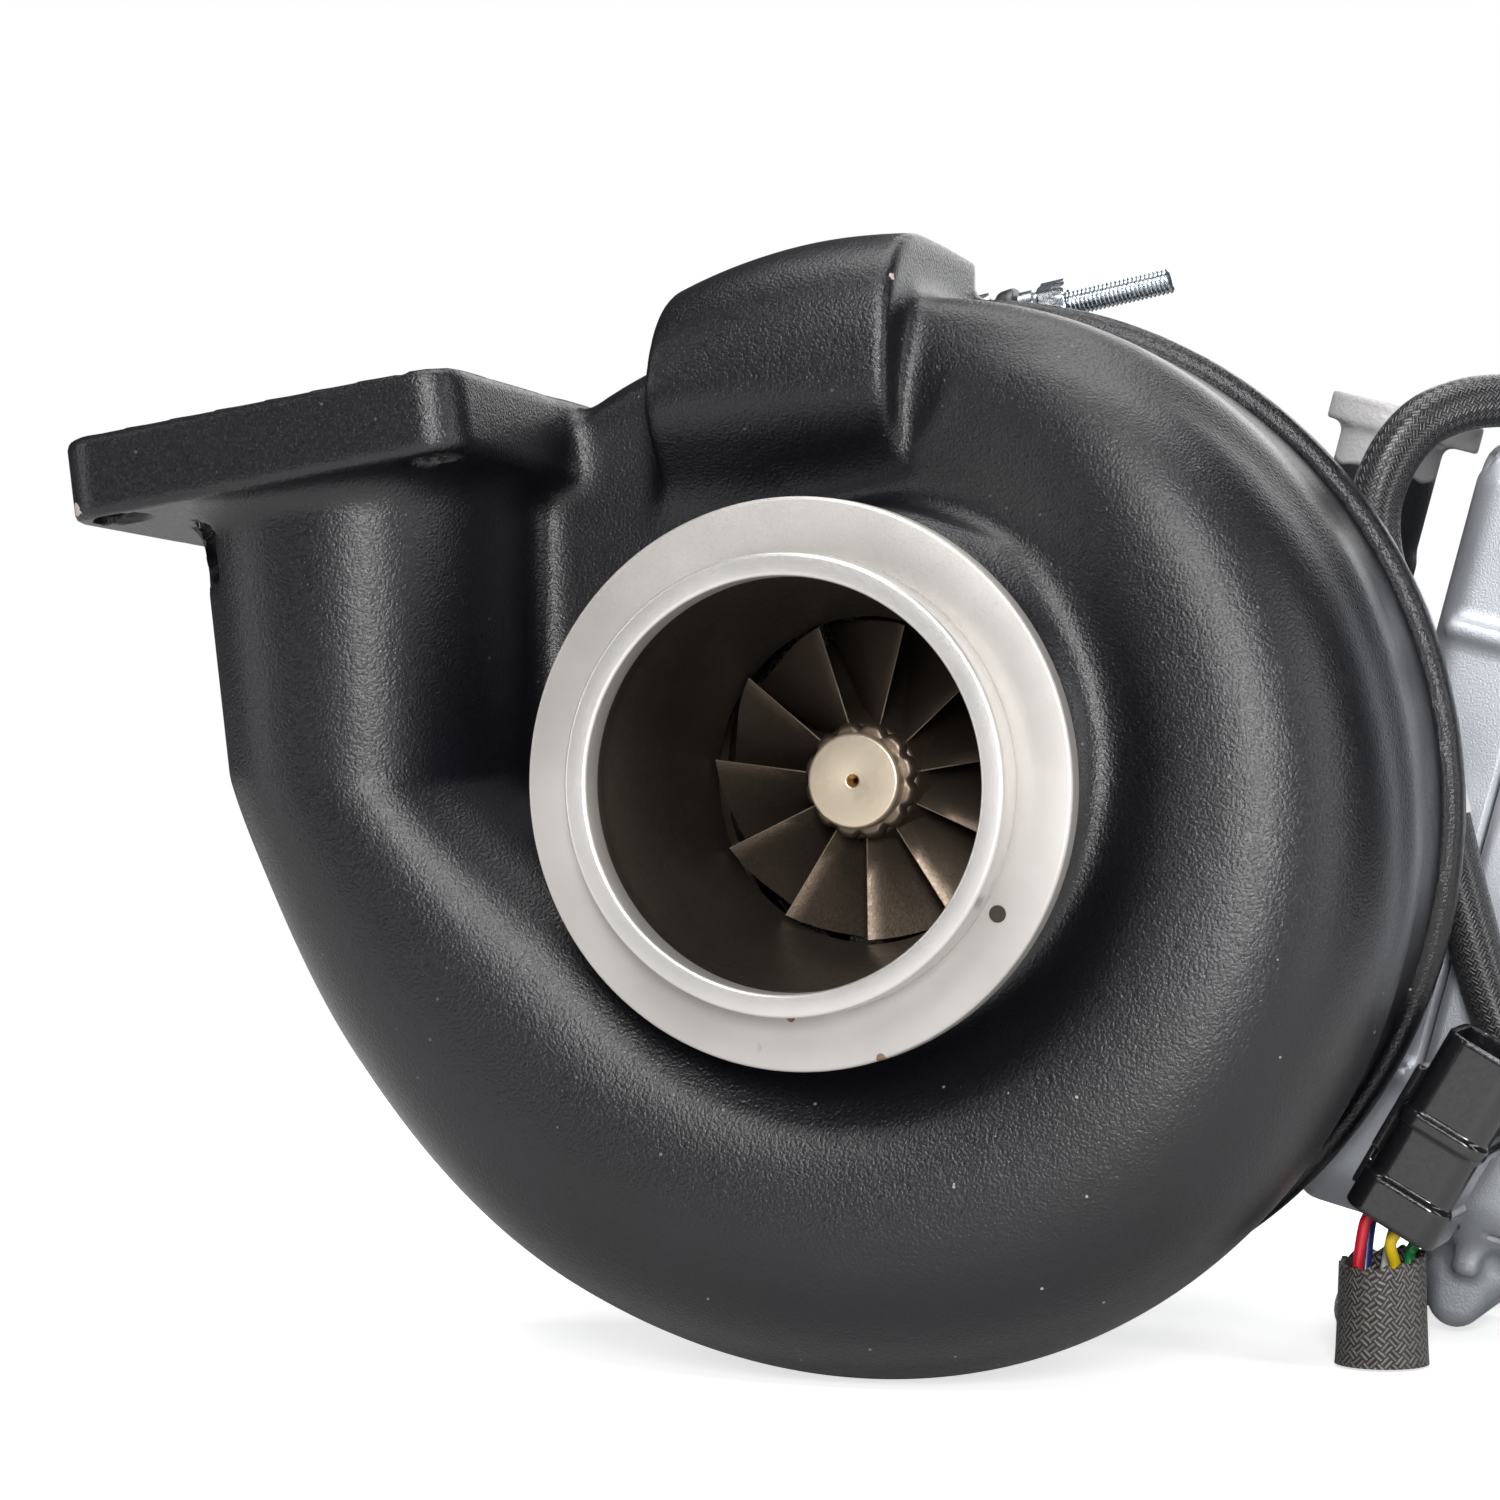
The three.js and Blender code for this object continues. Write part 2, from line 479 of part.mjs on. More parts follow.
addPiece("v_band_clamp", zincSteel, union(
  clampBand(CLAMP_R + 0.4, 94.5, 85, RIM_Y1 + 1, JOINT_Y + 6.2, 2, MAIN_CLAMP.angle, 14),
  ...clampEnds(MAIN_CLAMP, 94.5)));
addPiece("clamp_t_bolt", zincSteel, tBolt(MAIN_CLAMP, 91));
addPiece("clamp_trunnion", darkSteel, atAngle(cut(
  bar(6, [26, MAIN_CLAMP.y, MAIN_CLAMP.boltR], [31, MAIN_CLAMP.y, MAIN_CLAMP.boltR], 16),
  bar(3.4, [20, MAIN_CLAMP.y, MAIN_CLAMP.boltR], [40, MAIN_CLAMP.y, MAIN_CLAMP.boltR], 10)), MAIN_CLAMP.angle));
function sleeveNut(clamp, x0) {
  const hex = placed(new THREE.CylinderGeometry(5.9, 5.9, 6.5, 6), [x0 + 8.2, clamp.y, clamp.boltR],
    [0, 0, Math.PI / 2]);
  const collar = bar(4.9, [x0, clamp.y, clamp.boltR], [x0 + 5.2, clamp.y, clamp.boltR], 16);
  const hole = bar(3.35, [x0 - 5, clamp.y, clamp.boltR], [x0 + 20, clamp.y, clamp.boltR], 12);
  return atAngle(cut(union(collar, solid(hex)), hole), clamp.angle);
}
addPiece("clamp_nut", zincSteel, sleeveNut(MAIN_CLAMP, 31.4));

// ---------- compressor ----------
addPiece("compressor_backplate", castSilver, ring(11.5, 84, BACKPLATE_Y, COVER_Y - GAP, 28));
addPiece("cover_o_ring", blackRubber, ring(76.2, 78.8, COVER_Y + 0.1, COVER_Y + 2.6, 24));

// The compressor scroll grows from the lower left round to the left and leaves downwards.
const COVER_SCROLL_START = -138;
const COVER_SCROLL_END = 180;
const COVER_TUBE_Y = 236;
const COVER_WALL = 4;
function coverPoint(angle, dropZ, wall, s) {
  const grown = (angle - COVER_SCROLL_START) / (COVER_SCROLL_END - COVER_SCROLL_START);
  const tube = 10 + 12.5 * grown;
  const r = 53 + tube * 1.35 + (tube - wall) * Math.cos(2 * Math.PI * s);
  const y = COVER_TUBE_Y + (tube - wall) * Math.sin(2 * Math.PI * s);
  if (dropZ < 0) return new THREE.Vector3(-r, y, dropZ);
  return new THREE.Vector3(r * Math.cos(angle * DEG), y, r * Math.sin(angle * DEG));
}
function coverSkin(wall, startAngle, endZ, sections, sides) {
  const pipeSections = 1;
  return skin((t, s) => {
    const step = t * sections;
    if (step > sections - pipeSections) return coverPoint(COVER_SCROLL_END, endZ, wall, s);
    const grown = step / (sections - pipeSections);
    return coverPoint(startAngle + (COVER_SCROLL_END - startAngle) * grown, 0, wall, s);
  }, sections, sides);
}
function compressorCover() {
  const shell = turned([[0, COVER_Y], [84, COVER_Y], [84, COVER_Y + 3.5], [79, COVER_Y + 3.5], [79, COVER_Y + 9],
    [62, COVER_Y + 34], [40, 252], [37, 262], [37, COVER_END_Y - 6], [39, COVER_END_Y - 4], [39, COVER_END_Y], [0, COVER_END_Y]], 28);
  const hoseBead = bar(24.4, [-83.3, COVER_TUBE_Y, FLOOR_Z], [-83.3, COVER_TUBE_Y, FLOOR_Z + 5], 20);
  const wheelSpace = turned([[0, COVER_Y - 1], [61, COVER_Y - 1], [61, COVER_Y + 8.8], [42.6, COVER_Y + 8.8],
    [41.5, 212.8], [36, 222], [32.5, 234], [INDUCER_BORE_R, 245], [INDUCER_BORE_R, 270], [34.5, COVER_END_Y + 1],
    [0, COVER_END_Y + 1]], 24);
  const diffuserMouth = ring(57.3, 63.4, COVER_Y + 5.1, COVER_TUBE_Y + 2.3, 20);
  const ringGroove = ring(75.8, 79.2, COVER_Y - 1, COVER_Y + 3, 24);
  const outside = coverSkin(0, COVER_SCROLL_START, FLOOR_Z, 17, 12);
  const passage = coverSkin(COVER_WALL, COVER_SCROLL_START + 5, FLOOR_Z - 8, 15, 8);
  return cut(union(shell, outside, hoseBead), passage, wheelSpace, diffuserMouth, ringGroove);
}
addPiece("compressor_cover", castSilver, biggest(compressorCover()));
addPiece("cover_clamp", zincSteel, union(
  clampBand(84.4, 88.6, 80, BACKPLATE_Y - 2.4, COVER_Y + 6.2, 2, COVER_CLAMP.angle, 14),
  ...clampEnds(COVER_CLAMP, 88.6)));
addPiece("cover_clamp_bolt", zincSteel, tBolt(COVER_CLAMP, 68));
addPiece("cover_clamp_nut", zincSteel, sleeveNut(COVER_CLAMP, 26));

// ---------- nozzle linkage ----------
// Shape of a gear with straight-flanked teeth; a tooth stands at angle zero when phase is 0.
function gearShape(teeth, module, phase) {
  const shape = new THREE.Shape();
  const pitch = 2 * Math.PI / teeth;
  const root = module * (teeth / 2 - 1.2);
  const tip = module * (teeth / 2 + 0.85);
  for (let k = 0; k < teeth; k++) {
    const centre = (k + phase) * pitch;
    for (const [r, offset] of [[root, -0.31], [tip, -0.115], [tip, 0.115], [root, 0.31]]) {
      const angle = centre + offset * pitch;
      const point = [r * Math.cos(angle), r * Math.sin(angle)];
      if (k === 0 && offset === -0.31) shape.moveTo(...point);
      else shape.lineTo(...point);
    }
  }
  shape.closePath();
  return shape;
}
// Gear thick along x, centred at (y, z), its tooth or gap pointing along the direction to its mate.
function gear(teeth, module, x0, x1, y, z, direction, toothThere) {
  const phase = direction / (2 * Math.PI / teeth) + (toothThere ? 0 : 0.5);
  return slabX(gearShape(teeth, module, phase), x0, x1, 1).translate([0, y, z]);
}

const leverLean = LEVER_SWING / 2;
function yoke() {
  const hub = bar(8.4, [-51, LEVER_Y, LEVER_Z], [51, LEVER_Y, LEVER_Z], 16);
  const tip = [LEVER_Y + LEVER_LENGTH * Math.sin(leverLean), LEVER_Z + LEVER_LENGTH * Math.cos(leverLean)];
  const arm = (x) => union(
    solid(placed(new THREE.BoxGeometry(5, 7.4, LEVER_LENGTH), [x, (LEVER_Y + tip[0]) / 2, (LEVER_Z + tip[1]) / 2],
      [-leverLean, 0, 0])),
    bar(4, [x - 2.5, ...tip], [x + 2.5, ...tip], 12),
    bar(8.4, [x - 2.5, LEVER_Y, LEVER_Z], [x + 2.5, LEVER_Y, LEVER_Z], 16));
  return cut(union(hub, arm(-52), arm(52)), bar(6.3, [-70, LEVER_Y, LEVER_Z], [70, LEVER_Y, LEVER_Z], 16));
}
addPiece("cross_shaft", steel, bar(6, [-66, LEVER_Y, LEVER_Z], [110, LEVER_Y, LEVER_Z], 16), leaning);
addPiece("nozzle_yoke", darkSteel, yoke(), leaning);
const bush = (x0, x1) => cut(bar(9.1, [x0, LEVER_Y, LEVER_Z], [x1, LEVER_Y, LEVER_Z], 20),
  bar(6.3, [x0 - 1, LEVER_Y, LEVER_Z], [x1 + 1, LEVER_Y, LEVER_Z], 16));
addPiece("cross_shaft_bush_left", bronze, bush(-66, -57.2), leaning);
addPiece("cross_shaft_bush_right", bronze, bush(60, 94), leaning);

function sectorGear() {
  const full = gear(SECTOR_TEETH, SECTOR_MODULE, 98, 106, LEVER_Y, LEVER_Z, Math.PI / 2, true);
  const wedge = new THREE.Shape();
  wedge.moveTo(0, 0);
  for (const angle of [104, 90, 71, 52]) wedge.lineTo(50 * Math.cos(angle * DEG), 50 * Math.sin(angle * DEG));
  wedge.closePath();
  const teeth = full.intersect(slabX(wedge, 97, 107, 1).translate([0, LEVER_Y, LEVER_Z]));
  return cut(union(teeth, bar(11, [98, LEVER_Y, LEVER_Z], [106, LEVER_Y, LEVER_Z], 16)),
    bar(6.3, [90, LEVER_Y, LEVER_Z], [112, LEVER_Y, LEVER_Z], 16));
}
addPiece("sector_gear", steel, sectorGear(), leaning);

// ---------- actuator ----------
// Two reductions inside the actuator: motor pinion, intermediate gear, output gear and pinion.
const OUT = { y: LEVER_Y, z: PINION_Z };
const MESH_DISTANCE = TRAIN_MODULE * (BIG_TEETH + SMALL_TEETH) / 2;
const MID = { y: OUT.y + 6, z: OUT.z + Math.sqrt(MESH_DISTANCE ** 2 - 36) };
const MOTOR = { y: MID.y + 6, z: MID.z + Math.sqrt(MESH_DISTANCE ** 2 - 36) };
const upTrain = Math.atan2(MID.z - OUT.z, MID.y - OUT.y);
const shaftBar = (at, r, x0, x1, sides = 12) => bar(r, [x0, at.y, at.z], [x1, at.y, at.z], sides);

addPiece("output_gear", steel, union(gear(PINION_TEETH, SECTOR_MODULE, 97, 107, OUT.y, OUT.z, -Math.PI / 2, false),
  shaftBar(OUT, 6, 106, 127), gear(BIG_TEETH, TRAIN_MODULE, 122, 127, OUT.y, OUT.z, upTrain, true)), leaning);
addPiece("intermediate_gear", steel, union(
  gear(SMALL_TEETH, TRAIN_MODULE, 121.5, 129, MID.y, MID.z, upTrain + Math.PI, false),
  gear(BIG_TEETH, TRAIN_MODULE, 128.5, 133, MID.y, MID.z, upTrain, true), shaftBar(MID, 3, 118.5, 136)), leaning);
addPiece("motor_rotor", steel, union(
  gear(SMALL_TEETH, TRAIN_MODULE, 127.5, 134, MOTOR.y, MOTOR.z, upTrain + Math.PI, false),
  shaftBar(MOTOR, 3, 120.2, 155)), leaning);
addPiece("motor_stator", darkSteel, cut(shaftBar(MOTOR, 17.5, 136, 156.4, 20), shaftBar(MOTOR, 3.4, 134, 155.6)),
  leaning);

const pocketShape = () => roundedRect((ACT.y0 + ACT.y1) / 2, (ACT.z0 + ACT.z1) / 2, ACT.y1 - ACT.y0 - 7,
  ACT.z1 - ACT.z0 - 7, 20);
const outlineShape = () => roundedRect((ACT.y0 + ACT.y1) / 2, (ACT.z0 + ACT.z1) / 2, ACT.y1 - ACT.y0,
  ACT.z1 - ACT.z0, 12);
const boltSpots = [[ACT.y0 + 6.5, ACT.z0 + 6.5], [ACT.y1 - 6.5, ACT.z0 + 6.5], [ACT.y0 + 6.5, ACT.z1 - 6.5],
  [ACT.y1 - 6.5, ACT.z1 - 6.5]];
const screwHoles = (x0, x1, r) => boltSpots.map(([y, z]) => bar(r, [x0, y, z], [x1, y, z], 10));
const mountSpots = [[150, -52], [188, 30]];

function gearHousing() {
  const outer = slabX(outlineShape(), ACT.mountX, ACT.splitX);
  const pocket = slabX(pocketShape(), ACT.mountX + 4, ACT.splitX + 1);
  const shaftHole = bar(9.4, [80, LEVER_Y, LEVER_Z], [100, LEVER_Y, LEVER_Z], 16);
  const mountHoles = mountSpots.map(([y, z]) => bar(3.4, [80, y, z], [100, y, z], 10));
  return cut(outer, pocket, shaftHole, ...mountHoles, ...screwHoles(ACT.mountX + 6, ACT.splitX + 1, 2.9));
}
addPiece("gear_housing", castSilver, gearHousing(), leaning);

function actuatorBody() {
  const outer = slabX(outlineShape(), ACT.splitX + GAP, ACT.coverX);
  const foot = new THREE.Shape();
  foot.moveTo(124, -60);
  foot.lineTo(124, -84);
  foot.absarc(134, -88.35, 6.5, Math.PI, 1.5 * Math.PI + TILT);
  foot.lineTo(150, -86);
  foot.lineTo(150, -60);
  foot.closePath();
  const footPlate = slabY(foot, 150, 190);
  const lowRib = block(132, 138, 143, 200, -81, -60);
  const glandBoss = bar(9.5, [126, 160, 98], [126, 160, 105], 16);
  const pocket = slabX(pocketShape(), ACT.splitX + 5, ACT.coverX + 1);
  const holes = [shaftBar(OUT, 6.4, 100, 124, 16), shaftBar(MID, 3.4, 117, 124),
    ...screwHoles(ACT.splitX, ACT.coverX + 1, 2.9)];
  return cut(union(outer, footPlate, lowRib, glandBoss), pocket, ...holes);
}
addPiece("actuator_body", castSilver, actuatorBody(), leaning);
addPiece("circuit_board", boardGreen, block(150, 152, 150, 192, -58, 46), leaning);
addPiece("actuator_cover", castSilver, cut(slabX(outlineShape(), ACT.coverX + GAP, ACT.endX),
  ...screwHoles(ACT.coverX, ACT.endX + 1, 2.9)), leaning);
boltSpots.forEach(([y, z], index) => {
  const hex = placed(new THREE.CylinderGeometry(5, 5, 4.5, 6), [ACT.endX + GAP + 2.25, y, z], [0, 0, Math.PI / 2]);
  addPiece(`actuator_bolt_${index + 1}`, zincSteel, union(solid(hex),
    bar(2.5, [ACT.mountX + 7, y, z], [ACT.endX + 1, y, z], 10)), leaning);
});
mountSpots.forEach(([y, z], index) => {
  addPiece(`mount_bolt_${index + 1}`, zincSteel, union(bar(5, [95.3, y, z], [97.6, y, z], 12),
    bar(3, [91.1, y, z], [96, y, z], 10)), leaning);
});

// ---------- harness ----------
// Route of the woven sleeve: out of the boot, over and down behind the rim, out to the right, along the
// standing surface behind the actuator, and forwards under it to the cut end.
const sleeveRoute = [[138, 158.6, 80.3], [131, 157.6, 82.7], [123, 156, 84.2], [115, 152, 84.5], [107.5, 147, 83.2],
  [100, 141.2, 79], [94.2, 137.4, 71], [90.9, 134.8, 60.5], [91.6, 132.4, 49.5], [95.4, 131.2, 38], [99.6, 130.4, 25.5],
  [102.8, 130, 12], [106, 130, -3], [109.6, 130, -18], [113.4, 130, -33], [117.8, 130, -48], [123.2, 129.6, -63],
  [129.6, 129, -78], [137.4, 128.6, -93], [146.6, 130, -106.5], [157, 135, -116.4], [166, 145, -121],
  [169.5, 159, -121.3], [169.5, 175, -121.3], [167, 191, -121.3], [160, 206, -121.3], [147, 216.5, -121.3],
  [130, 220, -121.3], [113, 216.5, -121.3], [99.5, 206, -121.3], [90, 191, -121.3], [85, 174, -121.3],
  [84.5, 156, -121.3], [87.2, 139, -121.3], [91.4, 124.5, -120.4], [95.8, 113.2, -117.6]];
const vector = (point) => new THREE.Vector3(...point);
function tubeAlong(points, r, sides, steps) {
  const circle = new THREE.Shape(Array.from({ length: sides }, (_, k) => new THREE.Vector2(
    r * Math.cos(2 * Math.PI * k / sides), r * Math.sin(2 * Math.PI * k / sides))));
  const extrudePath = new THREE.CatmullRomCurve3(points.map(vector));
  return solid(new THREE.ExtrudeGeometry(circle, { steps, extrudePath, bevelEnabled: false }));
}
addPiece("harness_sleeve", wovenBlack, tubeAlong(sleeveRoute, SLEEVE_R, 8, 40));
addPiece("cable_boot", blackRubber, tubeAlong([[126, 160, 105.5], [126, 160, 108.6], [122.4, 159.6, 112.2],
  [113, 158.6, 113.3]], 8, 10, 8), leaning);

// The cut end of the sleeve stands open like a cup, and the wires rise out of it into the connector.
const CUP = { x: 100, y: 101, top: -104 };
const cup = cut(solid(placed(new THREE.CylinderGeometry(9.5, 10.4, 23, 20), [CUP.x, CUP.y, CUP.top - 11.6],
  [Math.PI / 2, 0, 0])), solid(placed(new THREE.CylinderGeometry(8.2, 8.6, 23, 16), [CUP.x, CUP.y, CUP.top - 8],
  [Math.PI / 2, 0, 0])));
addPiece("sleeve_end", wovenGrey, cup);
addPiece("heat_shrink", blackRubber, bar(3.2, [104.2, 102, -123], [104.6, 102, -109], 12));

// The connector stands over the cup, leaning to the right; x across, y deep and z towards its mouth.
const CONNECTOR = { x: 102.5, y: 104, z: -96.5, length: 44, width: 20, depth: 24, wall: 2, socket: 26 };
const connector = new THREE.Group();
connector.position.set(CONNECTOR.x, CONNECTOR.y, CONNECTOR.z);
connector.rotation.y = 30 * DEG;
turbocharger.add(connector);
const across = (inset) => roundedRect(0, 0, CONNECTOR.width - 2 * inset, CONNECTOR.depth - 2 * inset, 5 - inset);
const lift = (geometry, z) => solid(geometry.translate(0, 0, z));
function connectorBody() {
  const shell = lift(slab(across(0), CONNECTOR.length), 0);
  const collar = lift(slab(roundedRect(0, 0, CONNECTOR.width + 2, CONNECTOR.depth + 2, 5), 9), 0);
  const rail = block(-CONNECTOR.width / 2 - 2.6, -CONNECTOR.width / 2 + 1, -4, 4, 12, 32);
  const socket = lift(slab(across(CONNECTOR.wall), CONNECTOR.socket + 1), CONNECTOR.length - CONNECTOR.socket);
  return cut(union(shell, collar, rail), socket);
}
addPiece("connector_body", blackPlastic, connectorBody(), connector);
addPiece("connector_lock", redPlastic, block(-6, 6, -8, 8, CONNECTOR.length - CONNECTOR.socket + GAP,
  CONNECTOR.length - CONNECTOR.socket + 9), connector);

// Each wire: where it leaves the sleeve or the shrink tube, and where it enters the connector's back.
const wires = [
  ["wire_red", 0xc81428, [94.6, 99.4, -120], [-5, -4]],
  ["wire_blue", 0x16246a, [95.6, 103.4, -120], [-5, 3]],
  ["wire_white", 0xd8dcd8, [99.6, 105.4, -120], [0, 6]],
  ["wire_yellow", 0xe2c01a, [103, 100.4, -108.5], [2, -5]],
  ["wire_green", 0x1c8a48, [105.8, 102.6, -108.5], [6, 0]],
];
connector.updateMatrixWorld();
for (const [name, color, start, [x, y]] of wires) {
  const end = new THREE.Vector3(x, y, -GAP).applyMatrix4(connector.matrix);
  const before = new THREE.Vector3(x, y, -4).applyMatrix4(connector.matrix);
  const [sx, sy, sz] = start;
  const route = [start, [sx, sy, Math.max(sz + 3, -110)], before.toArray(), end.toArray()];
  addPiece(name, insulation(color), tubeAlong(route, 1.1, 8, 7));
}

// ---------- standing ----------
// The origin is under the middle of everything but the loose harness, on the standing surface.
const loose = new Set(["harness_sleeve", "sleeve_end", "heat_shrink", "connector_body", "connector_lock",
  ...wires.map(([name]) => name)]);
const standing = new THREE.Box3();
turbocharger.updateMatrixWorld(true);
turbocharger.traverse((piece) => {
  if (piece.isMesh && !loose.has(piece.name)) standing.expandByObject(piece, true);
});
const middle = standing.getCenter(new THREE.Vector3());
turbocharger.position.set(-middle.x, -middle.y, -standing.min.z);

export default turbocharger;
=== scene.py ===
import json
import math

import bpy
import numpy as np
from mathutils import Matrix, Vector


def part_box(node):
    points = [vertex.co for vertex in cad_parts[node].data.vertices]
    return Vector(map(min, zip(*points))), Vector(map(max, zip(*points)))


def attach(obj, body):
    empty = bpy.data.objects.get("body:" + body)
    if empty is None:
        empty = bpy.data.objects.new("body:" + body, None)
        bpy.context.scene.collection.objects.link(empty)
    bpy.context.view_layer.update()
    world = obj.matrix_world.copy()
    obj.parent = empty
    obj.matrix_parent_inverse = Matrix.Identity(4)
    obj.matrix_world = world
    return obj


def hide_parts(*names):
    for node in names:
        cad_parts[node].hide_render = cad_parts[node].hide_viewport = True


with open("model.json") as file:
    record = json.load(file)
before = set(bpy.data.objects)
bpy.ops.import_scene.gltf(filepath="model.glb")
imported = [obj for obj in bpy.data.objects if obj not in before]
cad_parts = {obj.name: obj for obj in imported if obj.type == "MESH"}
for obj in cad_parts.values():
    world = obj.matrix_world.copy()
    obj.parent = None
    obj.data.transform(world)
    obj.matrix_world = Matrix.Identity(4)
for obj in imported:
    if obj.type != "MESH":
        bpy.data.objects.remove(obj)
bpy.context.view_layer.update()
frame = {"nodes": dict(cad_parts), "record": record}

# Variable-geometry turbocharger. Shapes are worked out in millimetres about the shaft, with y = 0 on the
# outlet flange's face, and are then moved to the shaft's place in the shared frame.
bearing_lo, bearing_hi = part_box("turbine_side_bearing")
BEARING_Y = 108.0
SHAFT = np.array([(bearing_lo.x + bearing_hi.x) / 2, bearing_lo.y - BEARING_Y / 1000,
                  (bearing_lo.z + bearing_hi.z) / 2])
LEAN = math.radians(15)
TURN = 2 * math.pi

# A piece takes its body, its slot and so its finish from the CAD node it stands for, unless told otherwise.
SLOT_OF = {part["node"]: part["material_slot"] for part in frame["record"]["subparts"]}
BODY_OF = {node: body for body, nodes in frame["record"]["behaviour"]["bodies"].items() for node in nodes}


def in_place(points):
    """Shaft frame in millimetres to the shared frame in metres."""
    return np.asarray(points, float) / 1000 + SHAFT


def about_y(points, c, s):
    """Points turned about y by the angle whose cosine is c and sine is s."""
    p = np.asarray(points, float)
    return np.stack([c * p[..., 0] + s * p[..., 2], p[..., 1], c * p[..., 2] - s * p[..., 0]], -1)


def leaned(points):
    """Leaning frame to shaft frame."""
    return about_y(points, math.cos(LEAN), math.sin(LEAN))


def unleaned(points):
    """Shaft frame to leaning frame."""
    return about_y(points, math.cos(LEAN), -math.sin(LEAN))


def xyz(points):
    return points[..., 0], points[..., 1], points[..., 2]


def turn_of(x, z):
    """Angle about the shaft in degrees, from 0 to 360, anticlockwise from +x."""
    return np.degrees(np.arctan2(z, x)) % 360


# ---------- meshes ----------
def make_piece(name, points, quads, stands_for=None, material=None, slot=None, body=None, caps=(), uv=None,
               sharp=40):
    """One object from points in the shared frame; quads are rows of four indices, caps rows of any length."""
    slot = slot or SLOT_OF[stands_for]
    points = np.asarray(points, np.float32).reshape(-1, 3)
    quads = np.asarray(quads, np.int32).reshape(-1, 4)
    rows = [quads.ravel()] + [np.asarray(c, np.int32) for c in caps]
    sizes = np.concatenate([np.full(len(quads), 4)] + [[len(c)] for c in caps]).astype(np.int32)
    loops = np.concatenate(rows)
    mesh = bpy.data.meshes.new(name)
    mesh.vertices.add(len(points))
    mesh.vertices.foreach_set("co", points.ravel())
    mesh.loops.add(len(loops))
    mesh.loops.foreach_set("vertex_index", loops)
    mesh.polygons.add(len(sizes))
    mesh.polygons.foreach_set("loop_start", np.concatenate([[0], np.cumsum(sizes)[:-1]]).astype(np.int32))
    mesh.update(calc_edges=True)
    mesh.validate()
    if uv is not None:
        layer = mesh.uv_layers.new(name="flow")
        index = np.empty(len(mesh.loops), np.int32)
        mesh.loops.foreach_get("vertex_index", index)
        layer.data.foreach_set("uv", np.asarray(uv, np.float32).reshape(-1, 2)[index].ravel())
    mesh.polygons.foreach_set("use_smooth", np.ones(len(mesh.polygons), bool))
    mesh.set_sharp_from_angle(angle=math.radians(sharp))
    mesh.materials.append(material or BY_SLOT[slot])
    piece = bpy.data.objects.new(name, mesh)
    bpy.context.scene.collection.objects.link(piece)
    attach(piece, body or BODY_OF.get(stands_for, "housing"))
    if stands_for:
        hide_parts(stands_for)
    return piece


def grid_faces(rows, columns, wrap_rows=False, wrap_columns=True):
    """Quads of a grid of points, numbered row by row."""
    r = np.arange(rows if wrap_rows else rows - 1)[:, None]
    c = np.arange(columns if wrap_columns else columns - 1)[None, :]
    r1, c1 = (r + 1) % rows, (c + 1) % columns
    return np.stack([r * columns + c, r * columns + c1, r1 * columns + c1, r1 * columns + c],
                    -1).reshape(-1, 4)


class Shell:
    """Several grids gathered into one mesh."""

    def __init__(self):
        self.points, self.quads, self.caps, self.count = [], [], [], 0

    def grid(self, grid, wrap_rows=False):
        """A closed grid of (row, column, xyz) points: columns close on themselves, and open ends get a flat
        cap. It is turned inside out if its volume, summed over fans of triangles, comes out negative."""
        rows, columns = grid.shape[:2]
        points, quads = grid.reshape(-1, 3), grid_faces(rows, columns, wrap_rows)
        caps = [] if wrap_rows else [np.arange(columns)[::-1], np.arange(columns) + (rows - 1) * columns]
        fans = [np.stack([np.full(columns - 2, c[0]), c[1:-1], c[2:]], -1) for c in caps]
        triangles = np.concatenate([quads[:, [0, 1, 2]], quads[:, [0, 2, 3]], *fans])
        a, b, c = (points - points.mean(0))[triangles].transpose(1, 0, 2)
        if np.einsum("ij,ij->i", a, np.cross(b, c)).sum() < 0:
            quads, caps = quads[:, ::-1], [x[::-1] for x in caps]
        self.points.append(points)
        self.quads.append(quads + self.count)
        self.caps += [x + self.count for x in caps]
        self.count += rows * columns
        return self

    def join(self, other, moved=lambda p: p):
        """Another shell's grids, moved, as part of this one."""
        self.points.append(moved(np.concatenate(other.points)))
        self.quads.append(np.concatenate(other.quads) + self.count)
        self.caps += [c + self.count for c in other.caps]
        self.count += other.count
        return self

    def piece(self, name, stands_for=None, frame_of=lambda p: p, **more):
        points = in_place(frame_of(np.concatenate(self.points)))
        return make_piece(name, points, np.concatenate(self.quads), stands_for, caps=self.caps, **more)


def rounded(outline, radius, steps=3, closed=False):
    """A polyline whose corners become quadratic curves, each starting radius before its corner."""
    points = np.asarray(outline, float)
    n, made = len(points), []
    for i in range(n):
        p = points[i]
        if not closed and i in (0, n - 1):
            made.append(p[None])
            continue
        a, b = points[i - 1] - p, points[(i + 1) % n] - p
        la, lb = np.linalg.norm(a), np.linalg.norm(b)
        reach = min(radius, 0.45 * la, 0.45 * lb)
        t = np.linspace(0, 1, steps + 1)[:, None]
        made.append((1 - t) ** 2 * (p + a / la * reach) + 2 * t * (1 - t) * p + t ** 2 * (p + b / lb * reach))
    return np.concatenate(made)


def turned_grid(profile, segments=96, wave=None):
    """A profile of (radius, y) carried round the shaft; wave adds to the radius at each turn."""
    profile = np.asarray(profile, float)
    angle = np.arange(segments) * TURN / segments
    r = profile[:, :1] + (0 if wave is None else wave(profile, angle))
    return np.stack([r * np.cos(angle),
                     np.broadcast_to(profile[:, 1:], r.shape if r.shape[1] > 1 else (len(profile), segments)),
                     r * np.sin(angle)], -1)


def turned(profile, segments=96, edge=0.6, closed=True, wave=None):
    """A turned solid: the profile's corners are rounded by edge, and a closed profile makes a ring."""
    outline = rounded(profile, edge, 3, closed) if edge else np.asarray(profile, float)
    return Shell().grid(turned_grid(outline, segments, wave), wrap_rows=closed)


